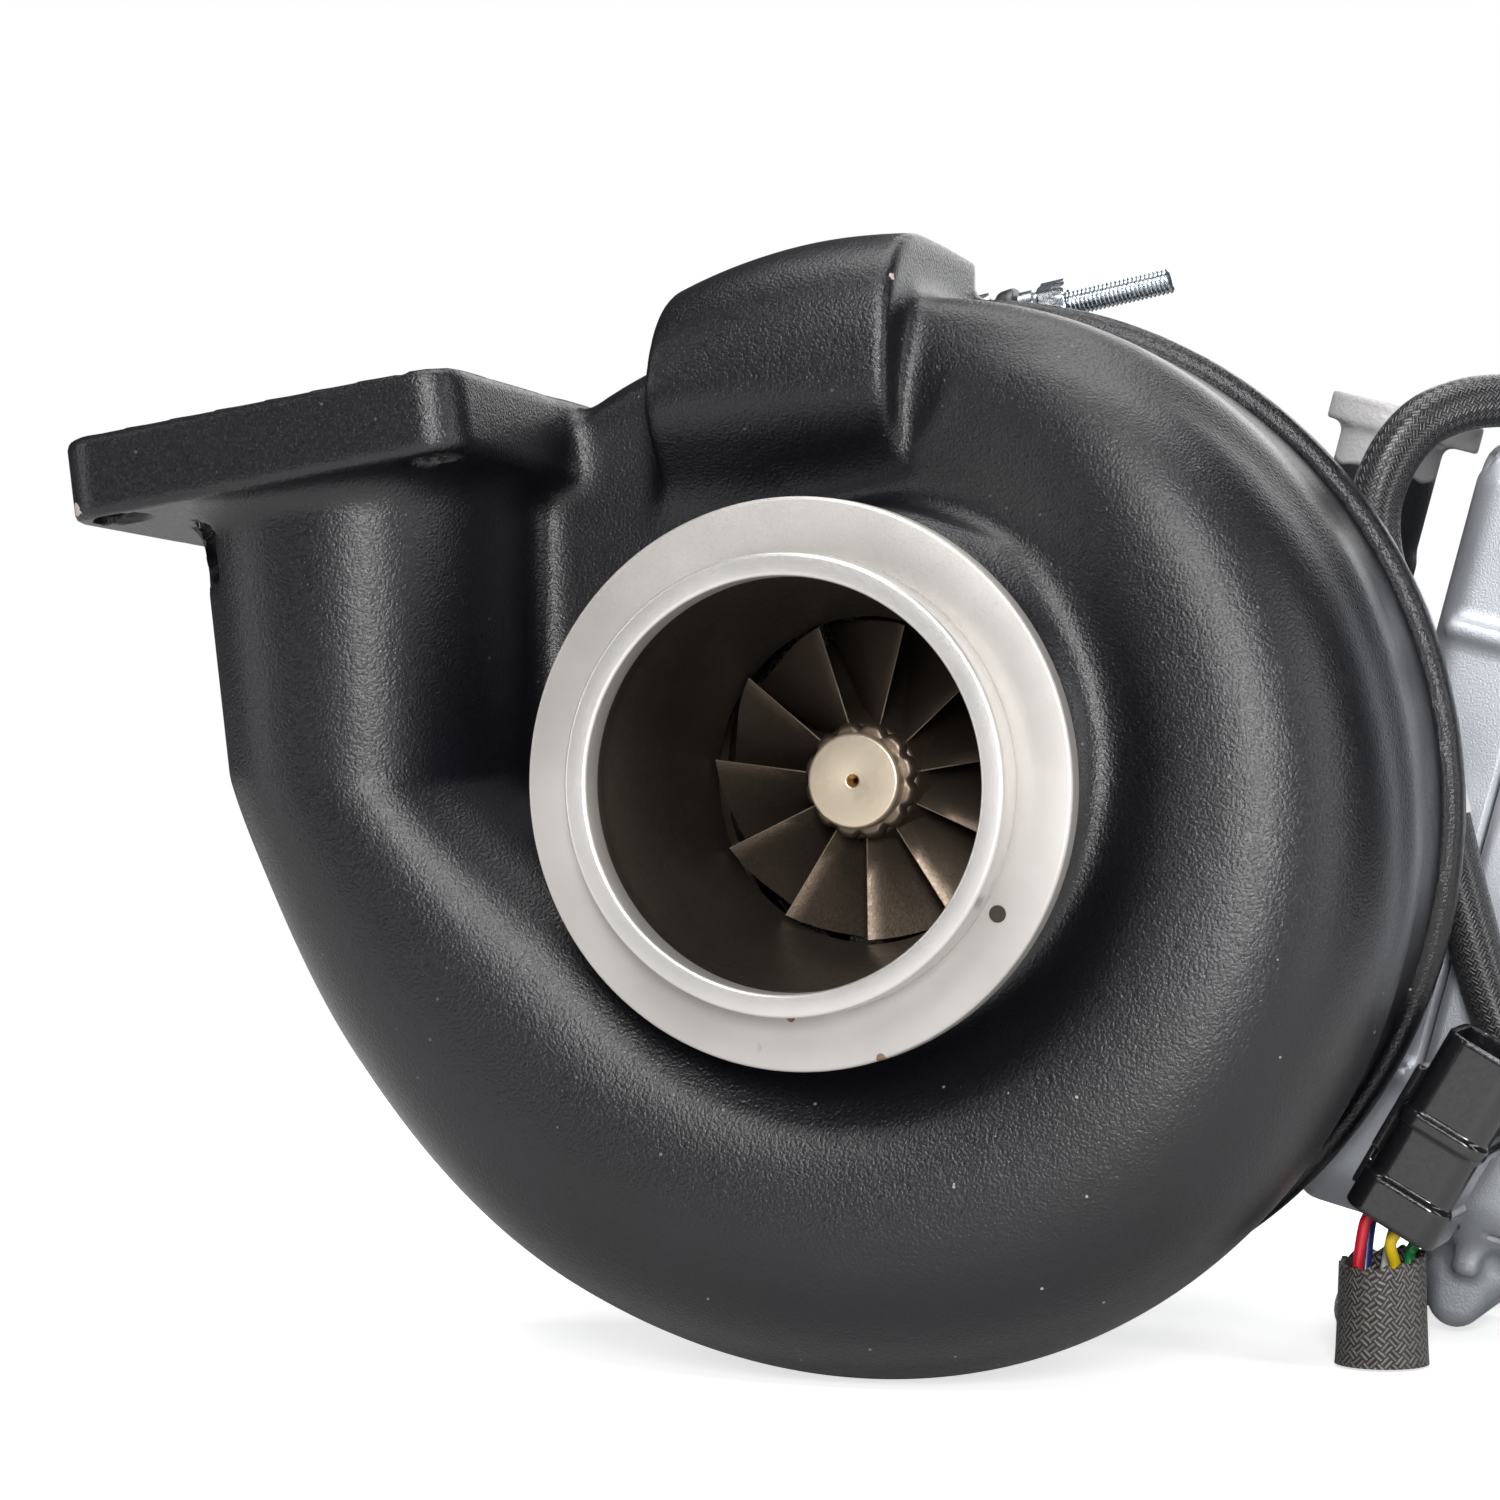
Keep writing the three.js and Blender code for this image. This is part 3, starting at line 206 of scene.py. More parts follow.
def path_frames(points):
    """Tangent, side and up vectors along a path, each side turned as little as possible from the last."""
    points = np.asarray(points, float)
    tangent = np.gradient(points, axis=0)
    tangent /= np.linalg.norm(tangent, axis=1)[:, None]
    start = np.cross(tangent[0], [0.3, 0.2, 0.93])
    sides = [start / np.linalg.norm(start)]
    for t in tangent[1:]:
        s = sides[-1] - t * sides[-1].dot(t)
        sides.append(s / np.linalg.norm(s))
    side = np.array(sides)
    return tangent, side, np.cross(tangent, side)


def smooth_path(points, spacing=2.0):
    """A Catmull-Rom curve through the points, then evenly spaced along its length."""
    p = np.asarray(points, float)
    p = np.concatenate([[2 * p[0] - p[1]], p, [2 * p[-1] - p[-2]]])
    t = np.linspace(0, 1, 12, endpoint=False)[:, None, None]
    a, b, c, d = p[:-3], p[1:-2], p[2:-1], p[3:]
    curve = 0.5 * (2 * b + (c - a) * t + (2 * a - 5 * b + 4 * c - d) * t ** 2 + (3 * b - a - 3 * c + d)
                   * t ** 3)
    curve = np.concatenate([curve.transpose(1, 0, 2).reshape(-1, 3), p[-2:-1]])
    run = np.concatenate([[0], np.cumsum(np.linalg.norm(np.diff(curve, axis=0), axis=1))])
    at = np.linspace(0, run[-1], max(3, int(run[-1] / spacing)))
    return np.stack([np.interp(at, run, curve[:, k]) for k in range(3)], -1), run[-1]


def tube_grid(path, radius, sides=24):
    """A circle of the given radius carried along a path."""
    _, side, up = path_frames(path)
    angle = np.arange(sides) * TURN / sides
    radius = np.broadcast_to(radius, (len(path),))[:, None, None]
    return path[:, None] + radius * (np.cos(angle)[None, :, None] * side[:, None] + np.sin(angle)[None, :,
                                                                                                  None]
                                     * up[:, None])


def bar(a, b, profile, sides=32):
    """A turned bar from a to b: the profile gives (distance along, radius)."""
    a, b = np.asarray(a, float), np.asarray(b, float)
    profile = np.asarray(profile, float)
    axis = (b - a) / np.linalg.norm(b - a)
    side = np.cross(axis, [0.1, 0.9, 0.2])
    side /= np.linalg.norm(side)
    up = np.cross(axis, side)
    angle = np.arange(sides) * TURN / sides
    ringed = np.cos(angle)[:, None] * side + np.sin(angle)[:, None] * up
    return a + profile[:, :1, None] * axis + profile[:, 1:, None] * ringed[None]


# ---------- castings as fields ----------
# A casting is a field that is negative inside; its skin is drawn where the field is zero.
def blend(a, b, k):
    """The lower of two fields, with a fillet of size k where they meet."""
    h = np.clip(0.5 + 0.5 * (b - a) / k, 0, 1)
    return b + (a - b) * h - k * h * (1 - h)


def carve(a, b, k=0.6):
    """Field a with field b cut out of it."""
    return -blend(-a, b, k)


def outline_field(u, v, outline):
    """Signed distance from a closed outline: the nearest edge's distance, negative inside."""
    outline = np.asarray(outline, float)
    best = np.full(u.shape, 1e9)
    inside = np.zeros(u.shape, bool)
    for (ax, ay), (bx, by) in zip(outline, np.roll(outline, -1, 0)):
        ex, ey = bx - ax, by - ay
        wx, wy = u - ax, v - ay
        t = np.clip((wx * ex + wy * ey) / (ex * ex + ey * ey), 0, 1)
        best = np.minimum(best, (wx - ex * t) ** 2 + (wy - ey * t) ** 2)
        crosses = ((ay <= v) & (by > v)) | ((by <= v) & (ay > v))
        inside ^= crosses & (u < ax + ex * (v - ay) / (ey if ey else 1e-9))
    return np.where(inside, -1, 1) * np.sqrt(best)


def turned_field(p, outline):
    return outline_field(np.hypot(p[..., 0], p[..., 2]), p[..., 1], outline)


def slab_field(flat, along, low, high, edge=1.0):
    """An outline's field given a thickness, with a rounded edge."""
    a, b = flat + edge, np.abs(along - (low + high) / 2) - (high - low) / 2 + edge
    return np.minimum(np.maximum(a, b), 0) + np.hypot(np.maximum(a, 0), np.maximum(b, 0)) - edge


def box_field(x, y, half_x, half_y, corner):
    """A rectangle with rounded corners, about the origin."""
    a, b = np.abs(x) - half_x + corner, np.abs(y) - half_y + corner
    return np.minimum(np.maximum(a, b), 0) + np.hypot(np.maximum(a, 0), np.maximum(b, 0)) - corner


def bar_field(p, a, b, radius, edge=1.0):
    """A round bar between two points, with rounded ends."""
    a, b = np.asarray(a, float), np.asarray(b, float)
    length = np.linalg.norm(b - a)
    axis = (b - a) / length
    along = (p - a) @ axis
    out = np.sqrt(np.maximum(((p - a) ** 2).sum(-1) - along ** 2, 0)) - radius
    return slab_field(out, along, 0, length, edge)


def skin_of(field, low, high, step):
    """The zero surface of a field: one point in each cell of a grid that the surface crosses, at the mean of
    the crossings on the cell's edges, then drawn onto the surface along the field's slope."""
    axes = [np.arange(a, b + step, step) for a, b in zip(low, high)]
    value = field(np.stack(np.meshgrid(*axes, indexing="ij"), -1)).astype(np.float32)
    inside = value < 0
    corner = np.array([[i, j, k] for i in (0, 1) for j in (0, 1) for k in (0, 1)])
    shape = [s - 1 for s in value.shape]
    at = lambda grid, c: grid[c[0]:c[0] + shape[0], c[1]:c[1] + shape[1], c[2]:c[2] + shape[2]]
    count = sum(at(inside, c).astype(np.int8) for c in corner)
    cells = np.argwhere((count > 0) & (count < 8))
    number = np.full(shape, -1, np.int32)
    number[tuple(cells.T)] = np.arange(len(cells))
    total, hits = np.zeros((len(cells), 3)), np.zeros(len(cells))
    for a in corner:
        for axis in range(3):
            if a[axis]:
                continue
            b = a.copy()
            b[axis] = 1
            fa, fb = value[tuple((cells + a).T)], value[tuple((cells + b).T)]
            cross = (fa < 0) != (fb < 0)
            t = np.where(cross, fa / np.where(cross, fa - fb, 1), 0)
            spot = a + t[:, None] * (b - a)
            total += np.where(cross[:, None], spot, 0)
            hits += cross
    points = np.array(low) + (cells + total / hits[:, None]) * step
    for _ in range(2):
        f, tiny = field(points), 0.05 * step
        slope = np.stack([field(points + tiny * e) - field(points - tiny * e) for e in np.eye(3)],
                         -1) / (2 * tiny)
        move = -f[:, None] * slope / np.maximum((slope ** 2).sum(-1), 0.2)[:, None]
        points += np.clip(move, -0.4 * step, 0.4 * step)
    quads = []
    for axis in range(3):
        u, v = (axis + 1) % 3, (axis + 2) % 3
        ahead = [slice(None)] * 3
        ahead[axis] = slice(1, None)
        back = [slice(None)] * 3
        back[axis] = slice(None, -1)
        changed = inside[tuple(ahead)] != inside[tuple(back)]
        edges = np.argwhere(changed)
        at_u, at_v = edges[:, u], edges[:, v]
        edges = edges[(at_u > 0) & (at_v > 0) & (at_u < shape[u]) & (at_v < shape[v])]
        du, dv = np.eye(3, dtype=int)[u], np.eye(3, dtype=int)[v]
        four = np.stack([number[tuple((edges - o).T)] for o in (du + dv, dv, 0 * du, du)], -1)
        out = inside[tuple(edges.T)]
        quads.append(np.where(out[:, None], four, four[:, ::-1]))
    return points, np.concatenate(quads)


def casting(name, stands_for, field, low, high, step, frame_of=lambda p: p, sharp=55, **more):
    points, quads = skin_of(field, low, high, step)
    return make_piece(name, in_place(frame_of(points)), quads, stands_for, sharp=sharp, **more)


def through(knots, x):
    """A smooth value through (place, value) knots: cubic pieces with slopes taken across each knot."""
    k = np.asarray(knots, float)
    slope = np.gradient(k[:, 1], k[:, 0])
    x = np.clip(x, k[0, 0], k[-1, 0])
    i = np.clip(np.searchsorted(k[:, 0], x) - 1, 0, len(k) - 2)
    span = k[i + 1, 0] - k[i, 0]
    t = (x - k[i, 0]) / span
    return ((2 * t ** 3 - 3 * t ** 2 + 1) * k[i, 1] + (t ** 3 - 2 * t ** 2 + t) * span * slope[i]
            + (3 * t ** 2 - 2 * t ** 3) * k[i + 1, 1] + (t ** 3 - t ** 2) * span * slope[i + 1])


# ---------- finishes ----------
def node(tree, kind, inputs=None, **settings):
    """A new node whose inputs are linked to sockets or set to values."""
    made = tree.nodes.new(kind)
    for key, value in settings.items():
        setattr(made, key, value)
    for key, value in (inputs or {}).items():
        if isinstance(value, bpy.types.NodeSocket):
            tree.links.new(value, made.inputs[key])
        else:
            made.inputs[key].default_value = value
    return made


def new_group(name, inputs, outputs):
    """A node group with named float inputs (name, value) and outputs (name, socket kind)."""
    tree = bpy.data.node_groups.new(name, "ShaderNodeTree")
    for label, value in inputs:
        tree.interface.new_socket(label, in_out="INPUT", socket_type="NodeSocketFloat").default_value = value
    for label, kind in outputs:
        tree.interface.new_socket(label, in_out="OUTPUT", socket_type=kind)
    return tree, tree.nodes.new("NodeGroupInput").outputs, tree.nodes.new("NodeGroupOutput").inputs


def maths(tree, how, a, b=0.0, clamp=False):
    return node(tree, "ShaderNodeMath", {0: a, 1: b}, operation=how, use_clamp=clamp).outputs[0]


def place_of(tree):
    """Where a point lies in the shared frame, since every piece sits at the origin."""
    return node(tree, "ShaderNodeTexCoord").outputs["Object"]


def cast_skin_group():
    """Grain of a cast surface: a fine and a broad noise make the normal, and a slow one makes the mottle."""
    tree, given, out = new_group("Cast_skin",
                                 [("Grain per metre", 900.0), ("Grain height", 0.0002), ("Waviness", 0.3)],
                                 [("Normal", "NodeSocketVector"), ("Mottle", "NodeSocketFloat"),
                                  ("Grain", "NodeSocketFloat")])
    place = place_of(tree)
    fine = node(tree, "ShaderNodeTexNoise",
                {"Vector": place, "Scale": given["Grain per metre"], "Detail": 2.5, "Roughness": 0.55})
    broad_scale = maths(tree, "MULTIPLY", given["Grain per metre"], 0.14)
    broad = node(tree, "ShaderNodeTexNoise", {"Vector": place, "Scale": broad_scale, "Detail": 3.0})
    slow = node(tree, "ShaderNodeTexNoise", {"Vector": place, "Scale": 26.0, "Detail": 4.0})
    wave = maths(tree, "MULTIPLY", broad.outputs["Fac"], given["Waviness"])
    height = maths(tree, "ADD", fine.outputs["Fac"], maths(tree, "MULTIPLY", wave, 6.0))
    bump = node(tree, "ShaderNodeBump",
                {"Height": height, "Distance": given["Grain height"], "Strength": 1.0})
    tree.links.new(bump.outputs["Normal"], out["Normal"])
    tree.links.new(slow.outputs["Fac"], out["Mottle"])
    tree.links.new(fine.outputs["Fac"], out["Grain"])
    return tree


def speckle_group():
    """Specks: cells of a Voronoi pattern whose random value is high, each a dot about its centre."""
    tree, given, out = new_group("Speckle", [("Cells per metre", 420.0), ("Size", 0.2), ("Share", 0.06)],
                                 [("Mask", "NodeSocketFloat")])
    place = place_of(tree)
    cells = node(tree, "ShaderNodeTexVoronoi", {"Vector": place, "Scale": given["Cells per metre"]})
    pick = node(tree, "ShaderNodeSeparateColor", {"Color": cells.outputs["Color"]}).outputs["Red"]
    chosen = maths(tree, "LESS_THAN", pick, given["Share"])
    dot = maths(tree, "LESS_THAN", cells.outputs["Distance"], given["Size"])
    tree.links.new(maths(tree, "MULTIPLY", chosen, dot), out["Mask"])
    return tree


def braid_group():
    """Two families of yarns that wind round the sleeve in opposite ways: a sine across each family gives its
    yarns, and a checker of the two decides which lies on top."""
    tree, given, out = new_group("Braid",
                                 [("Round count", 20.0), ("Yarns per metre", 420.0), ("Height", 0.0004)],
                                 [("Normal", "NodeSocketVector"), ("Yarn", "NodeSocketFloat"),
                                  ("Over", "NodeSocketFloat")])
    uv = node(tree, "ShaderNodeUVMap", uv_map="flow").outputs["UV"]
    split = node(tree, "ShaderNodeSeparateXYZ", {"Vector": uv})
    round_ = maths(tree, "MULTIPLY", split.outputs["X"], given["Round count"])
    along = maths(tree, "MULTIPLY", split.outputs["Y"], given["Yarns per metre"])
    plus, minus = maths(tree, "ADD", along, round_), maths(tree, "SUBTRACT", along, round_)
    wave = lambda x: maths(tree, "ABSOLUTE", maths(tree, "SINE", maths(tree, "MULTIPLY", x, math.pi)))
    over = maths(tree, "GREATER_THAN",
                 maths(tree, "MULTIPLY", maths(tree, "SINE", maths(tree, "MULTIPLY", plus, math.pi / 2)),
                                             maths(tree, "SINE",
                                                   maths(tree, "MULTIPLY", minus, math.pi / 2))), 0.0)
    a, b = wave(plus), wave(minus)
    top = node(tree, "ShaderNodeMix", {0: over, 2: a, 3: b}).outputs[0]
    bump = node(tree, "ShaderNodeBump", {"Height": top, "Distance": given["Height"]})
    tree.links.new(bump.outputs["Normal"], out["Normal"])
    tree.links.new(top, out["Yarn"])
    tree.links.new(over, out["Over"])
    return tree


CAST_SKIN, SPECKLE, BRAID = cast_skin_group(), speckle_group(), braid_group()


def placed_group(tree, group, values):
    made = tree.nodes.new("ShaderNodeGroup")
    made.node_tree = group
    for key, value in values.items():
        made.inputs[key].default_value = value
    return made


def mixed(tree, how_much, a, b):
    """Colour a turned towards colour b by a mask."""
    return node(tree, "ShaderNodeMix", {0: how_much, 6: a, 7: b}, data_type="RGBA").outputs[2]


def spread(tree, value, low, high, to_low=0.0, to_high=1.0):
    return node(tree, "ShaderNodeMapRange", {0: value, 1: low, 2: high, 3: to_low, 4: to_high}).outputs[0]


def near(tree, centre, reach):
    """A mask that is 1 at a point of the shaft frame and falls to 0 at its reach, in millimetres."""
    place = place_of(tree)
    far = node(tree, "ShaderNodeVectorMath", {0: place, 1: tuple(in_place(centre))},
               operation="DISTANCE").outputs["Value"]
    return spread(tree, far, 0.0, reach / 1000, 1.0, 0.0)


def finish(name, roughness, metallic=0.0, **sockets):
    made = bpy.data.materials.new(name)
    made.use_nodes = True
    tree = made.node_tree
    shader = tree.nodes["Principled BSDF"]
    shader.inputs["Roughness"].default_value = roughness
    shader.inputs["Metallic"].default_value = metallic
    for key, value in sockets.items():
        shader.inputs[key.replace("_", " ")].default_value = value
    return made, tree, shader


def cast_finish(name, dark, light, rough, metallic, grain, height, waviness, **sockets):
    """A cast or blasted surface: two colours mottled, with grain in both normal and roughness."""
    made, tree, shader = finish(name, rough, metallic, **sockets)
    skin = placed_group(tree, CAST_SKIN,
                        {"Grain per metre": grain, "Grain height": height, "Waviness": waviness})
    colour = mixed(tree, spread(tree, skin.outputs["Mottle"], 0.35, 0.65), (*dark, 1), (*light, 1))
    tree.links.new(skin.outputs["Normal"], shader.inputs["Normal"])
    tree.links.new(spread(tree, skin.outputs["Grain"], 0.3, 0.7, rough - 0.06, rough + 0.08),
                   shader.inputs["Roughness"])
    tree.links.new(colour, shader.inputs["Base Color"])
    return made, tree, shader, skin, colour


def black_paint():
    """Satin black paint over sand-cast iron, with dust specks and bare metal where corners were knocked."""
    made, tree, shader, _, colour = cast_finish("black_paint", (0.0028, 0.0028, 0.004),
                                                (0.0045, 0.0045, 0.0064), 0.33, 0.0,
                                                   1500.0, 0.0002, 0.1, Specular_IOR_Level=0.5)
    dust = placed_group(tree, SPECKLE,
                        {"Cells per metre": 480.0, "Size": 0.16, "Share": 0.02}).outputs["Mask"]
    lower = node(tree, "ShaderNodeSeparateXYZ", {"Vector": place_of(tree)})
    side = maths(tree, "SUBTRACT", maths(tree, "MULTIPLY", lower.outputs["X"], 0.8), lower.outputs["Z"])
    dust = maths(tree, "MULTIPLY", dust, spread(tree, side, -0.12, 0.04, 0.12, 0.8))
    colour = mixed(tree, dust, colour, (0.45, 0.43, 0.4, 1))
    ragged = node(tree, "ShaderNodeTexNoise", {"Vector": place_of(tree), "Scale": 420.0, "Detail": 5.0})
    bare = 0.0
    for centre, reach in CHIPS:
        spot = maths(tree, "ADD", near(tree, centre, reach),
                     maths(tree, "MULTIPLY", ragged.outputs["Fac"], 0.9))
        bare = maths(tree, "MAXIMUM", bare, maths(tree, "GREATER_THAN", spot, 1.06))
    tree.links.new(mixed(tree, bare, colour, (0.42, 0.36, 0.3, 1)), shader.inputs["Base Color"])
    return made


# Knocked places: on the inlet flange's front edge, its lower left corner and the hump's front edge.
CHIPS = [((-98, 2, 89), 6.0), ((-93.5, 2, 89.5), 5.0), ((-165, 3.5, 58), 4.5), ((4.5, 52, 108), 3.5),
         ((-104, 4, 40), 2.2),
         ((-105, 6, 26), 1.6)]


def machined(name, light, dark, rough, stains=0.0):
    """Turned metal: a fine noise, mottled, with a few rust spots."""
    made, tree, shader, _, colour = cast_finish(name, dark, light, rough, 0.7, 2600.0, 0.000012, 0.05)
    if stains:
        spots = placed_group(tree, SPECKLE,
                             {"Cells per metre": 260.0, "Size": 0.3, "Share": 0.12}).outputs["Mask"]
        low = maths(tree, "MAXIMUM", near(tree, (8, 0, -53), 20.0), near(tree, (48, -2, -5), 8.0))
        rust = maths(tree, "MULTIPLY", spots, spread(tree, low, 0.15, 0.5))
        tree.links.new(mixed(tree, maths(tree, "MULTIPLY", rust, stains), colour, (0.16, 0.07, 0.03, 1)),
                       shader.inputs["Base Color"])
    return made


def plain_metal(name, colour, rough, grain=1200.0, height=0.00003):
    return cast_finish(name, tuple(0.82 * c for c in colour), colour, rough, 1.0, grain, height, 0.1)[0]


def plain_plastic(name, colour, rough, grain=1600.0, height=0.00002, **sockets):
    return cast_finish(name, tuple(0.85 * c for c in colour), colour, rough, 0.0, grain, height, 0.1,
                       **sockets)[0]


def woven(name, dark, light, round_count, yarns, height, rough):
    """Braided monofilament: yarns from the braid group in the light colour, with painted shade in the dark
    colour where they sink into the gaps between them, and glossy on their crowns.
    """
    made, tree, shader = finish(name, rough, 0.0, Specular_IOR_Level=0.7, Coat_Weight=0.3,
                                Coat_Roughness=0.25)
    braid = placed_group(tree, BRAID,
                         {"Round count": round_count, "Yarns per metre": yarns, "Height": height})
    # Painted shade: the colour runs from the yarn's own colour on its crown to the dark colour in the gaps
    # between yarns.
    crown = spread(tree, braid.outputs["Yarn"], 0.5, 1.0)
    tree.links.new(mixed(tree, crown, (*dark, 1), (*light, 1)), shader.inputs["Base Color"])
    tree.links.new(braid.outputs["Normal"], shader.inputs["Normal"])
    tree.links.new(spread(tree, braid.outputs["Yarn"], 0.2, 1.0, rough + 0.3, rough),
                   shader.inputs["Roughness"])
    return made


PAINT = black_paint()
FACE = machined("machined_face", (0.5, 0.475, 0.45), (0.4, 0.38, 0.36), 0.45, 0.9)
LIP = machined("machined_lip", (0.6, 0.58, 0.56), (0.5, 0.485, 0.465), 0.36)
BORE = cast_finish("bore_wall", (0.045, 0.038, 0.03), (0.075, 0.064, 0.052), 0.42, 0.8, 700.0, 0.00006,
                   0.1)[0]
BLADE = cast_finish("blade_alloy", (0.13, 0.1, 0.075), (0.2, 0.155, 0.115), 0.42, 0.85, 1400.0, 0.00005,
                    0.15)[0]
NOSE = machined("nose_face", (0.72, 0.62, 0.48), (0.6, 0.5, 0.38), 0.36)
ZINC = plain_metal("zinc_steel", (0.62, 0.66, 0.7), 0.24)
STEEL = plain_metal("bright_steel", (0.5, 0.5, 0.51), 0.28)
DARK_STEEL = plain_metal("dark_steel", (0.1, 0.1, 0.105), 0.42)
IRON = cast_finish("dark_cast_iron", (0.035, 0.035, 0.037), (0.055, 0.054, 0.055), 0.55, 0.5, 800.0, 0.0002,
                   0.3)[0]
BLASTED = cast_finish("blasted_aluminium", (0.34, 0.355, 0.385), (0.41, 0.425, 0.455), 0.42, 0.65, 2200.0,
                      0.00009, 0.04)[0]
WHEEL = plain_metal("wheel_aluminium", (0.7, 0.71, 0.72), 0.26, 900.0, 0.00002)
BRONZE = plain_metal("bearing_bronze", (0.46, 0.3, 0.13), 0.35)
RUBBER = plain_plastic("black_rubber", (0.012, 0.012, 0.012), 0.65, 1300.0, 0.00008)
GLOSS = plain_plastic("black_plastic", (0.007, 0.007, 0.008), 0.2, 900.0, 0.00002, Coat_Weight=0.4)
RED = plain_plastic("red_plastic", (0.2, 0.008, 0.01), 0.35)
GREEN = plain_plastic("circuit_green", (0.02, 0.11, 0.04), 0.4)
TAPE = plain_plastic("pale_tape", (0.72, 0.7, 0.68), 0.55)
SLEEVE = woven("woven_black", (0.003, 0.003, 0.003), (0.03, 0.03, 0.033), 34.0, 900.0, 0.0003, 0.26)
CUT_SLEEVE = woven("woven_grey", (0.012, 0.011, 0.01), (0.11, 0.1, 0.09), 40.0, 620.0, 0.0004, 0.42)
INSULATION = {n: plain_plastic("wire_" + n, c, 0.32, 900.0, 0.00001) for n, c in {
    "red": (0.62, 0.012, 0.03), "blue": (0.012, 0.02, 0.13), "white": (0.6, 0.64, 0.6), "yellow": (0.72, 0.5,
                                                                                                   0.01),
    "green": (0.01, 0.22, 0.06)}.items()}
BY_SLOT = {"black_paint": PAINT, "black_paint_machined": PAINT, "dark_cast_iron": IRON, "nickel_alloy": BLADE,
           "bright_steel": STEEL, "zinc_steel": ZINC, "dark_steel": DARK_STEEL, "cast_aluminium": BLASTED,
           "wheel_aluminium": WHEEL, "bearing_bronze": BRONZE, "black_rubber": RUBBER, "black_plastic": GLOSS,
           "red_plastic": RED, "circuit_green": GREEN, "woven_black": SLEEVE, "woven_grey": CUT_SLEEVE,
           **{"wire_" + n: m for n, m in INSULATION.items()}}
for carried, slot_name in SLOT_OF.items():
    for held in frame["nodes"][carried].material_slots:
        held.link = "OBJECT"
        held.material = BY_SLOT[slot_name]


# ---------- turbine housing ----------
# The scroll's section at each angle: 180 is the inlet side, 270 under the shaft, 360 the right side.
SCROLL_OUTER = [(180, 144), (189, 137.5), (207, 130.5), (240, 127.5), (290, 127.5), (360, 112), (434, 102),
                (500, 98)]
SCROLL_HALF = [(180, 31), (207, 37), (270, 38), (360, 33), (434, 28), (500, 24)]
SCROLL_FRONT = [(180, 9), (207, 9), (270, 12), (360, 27), (400, 35), (434, 50), (470, 64), (500, 66)]
SCROLL_BACK = [(180, 90), (270, 96), (434, 96), (500, 96)]
RIM = [(180, 128), (270, 124), (309, 121.5), (330, 119), (370, 114), (434, 108), (500, 106)]
NECK_TOP, PORT_TOP = 62.0, 79.0
INLET_AT, INLET_ROLL, INLET_PITCH = (-123.5, 44, 77.8), math.radians(-9), math.radians(-3.2)
OUTLET_R, LIP_R, LIP_Y, BORE_R, SHROUD_R = 58.5, 46.9, -9.0, 42.1, 34.9


def oval(a, b, half_a, half_b, power=2.35):
    """A superellipse's field: its radius in units of the outline, scaled to distance by its slope."""
    u, v = np.abs(a) / half_a, np.abs(b) / half_b
    k = np.maximum((u ** power + v ** power) ** (1 / power), 1e-6)
    slope = np.hypot(u ** (power - 1) / half_a, v ** (power - 1) / half_b) / k ** (power - 1)
    return (k - 1) / np.maximum(slope, 1 / max(np.max(half_a), np.max(half_b)) / 1.5)


def scroll_field(p, wall):
    """The spiral tube and its straight neck, shrunk by a wall for the passage inside."""
    x, y, z = xyz(p)
    neck = (z > 0) & (x < 0)
    angle = turn_of(x, z)
    angle = np.where(angle < 150, angle + 360, angle)
    widen = np.clip(z, 0, PORT_TOP) * 4 / NECK_TOP
    parts = []
    for straight in (True, False):
        at = np.full_like(angle, 180.0) if straight else np.where(angle < 180, 180, angle)
        w = widen if straight else 0.0
        half = through(SCROLL_HALF, at) + w - wall
        outer = through(SCROLL_OUTER, at) + 2 * w
        front, back = through(SCROLL_FRONT, at), through(SCROLL_BACK, at)
        out = -x if straight else np.hypot(x, z)
        tube = oval(out - (outer - half - wall), y - (front + back) / 2, half, (back - front) / 2 - wall)
        if straight:
            parts.append(np.maximum(np.where(x < 20, tube, 60.0),
                                    np.maximum(-z, z - (66 if wall == 0 else 90))))
        else:
            parts.append(np.where((angle >= 180) & (angle < 470), tube, 60.0))
            parts[-1] = np.maximum(parts[-1], np.where(angle < 180, 40.0, -1e9))
    spiral_open = np.where(neck & (np.degrees(np.arctan2(z, x)) > 140), 30.0, parts[1])
    return np.minimum(np.where(z >= 0, parts[0], 1e3), np.where(neck & (x < -95), 1e3, spiral_open))


def inlet_frame(p):
    """Shaft frame to the inlet flange's own frame, its face at zero."""
    x, y, z = xyz(about_y(p - np.array(INLET_AT), math.cos(INLET_ROLL), -math.sin(INLET_ROLL)))
    c, s = math.cos(INLET_PITCH), math.sin(INLET_PITCH)
    return np.stack([x, c * y + s * z, -s * y + c * z], -1)


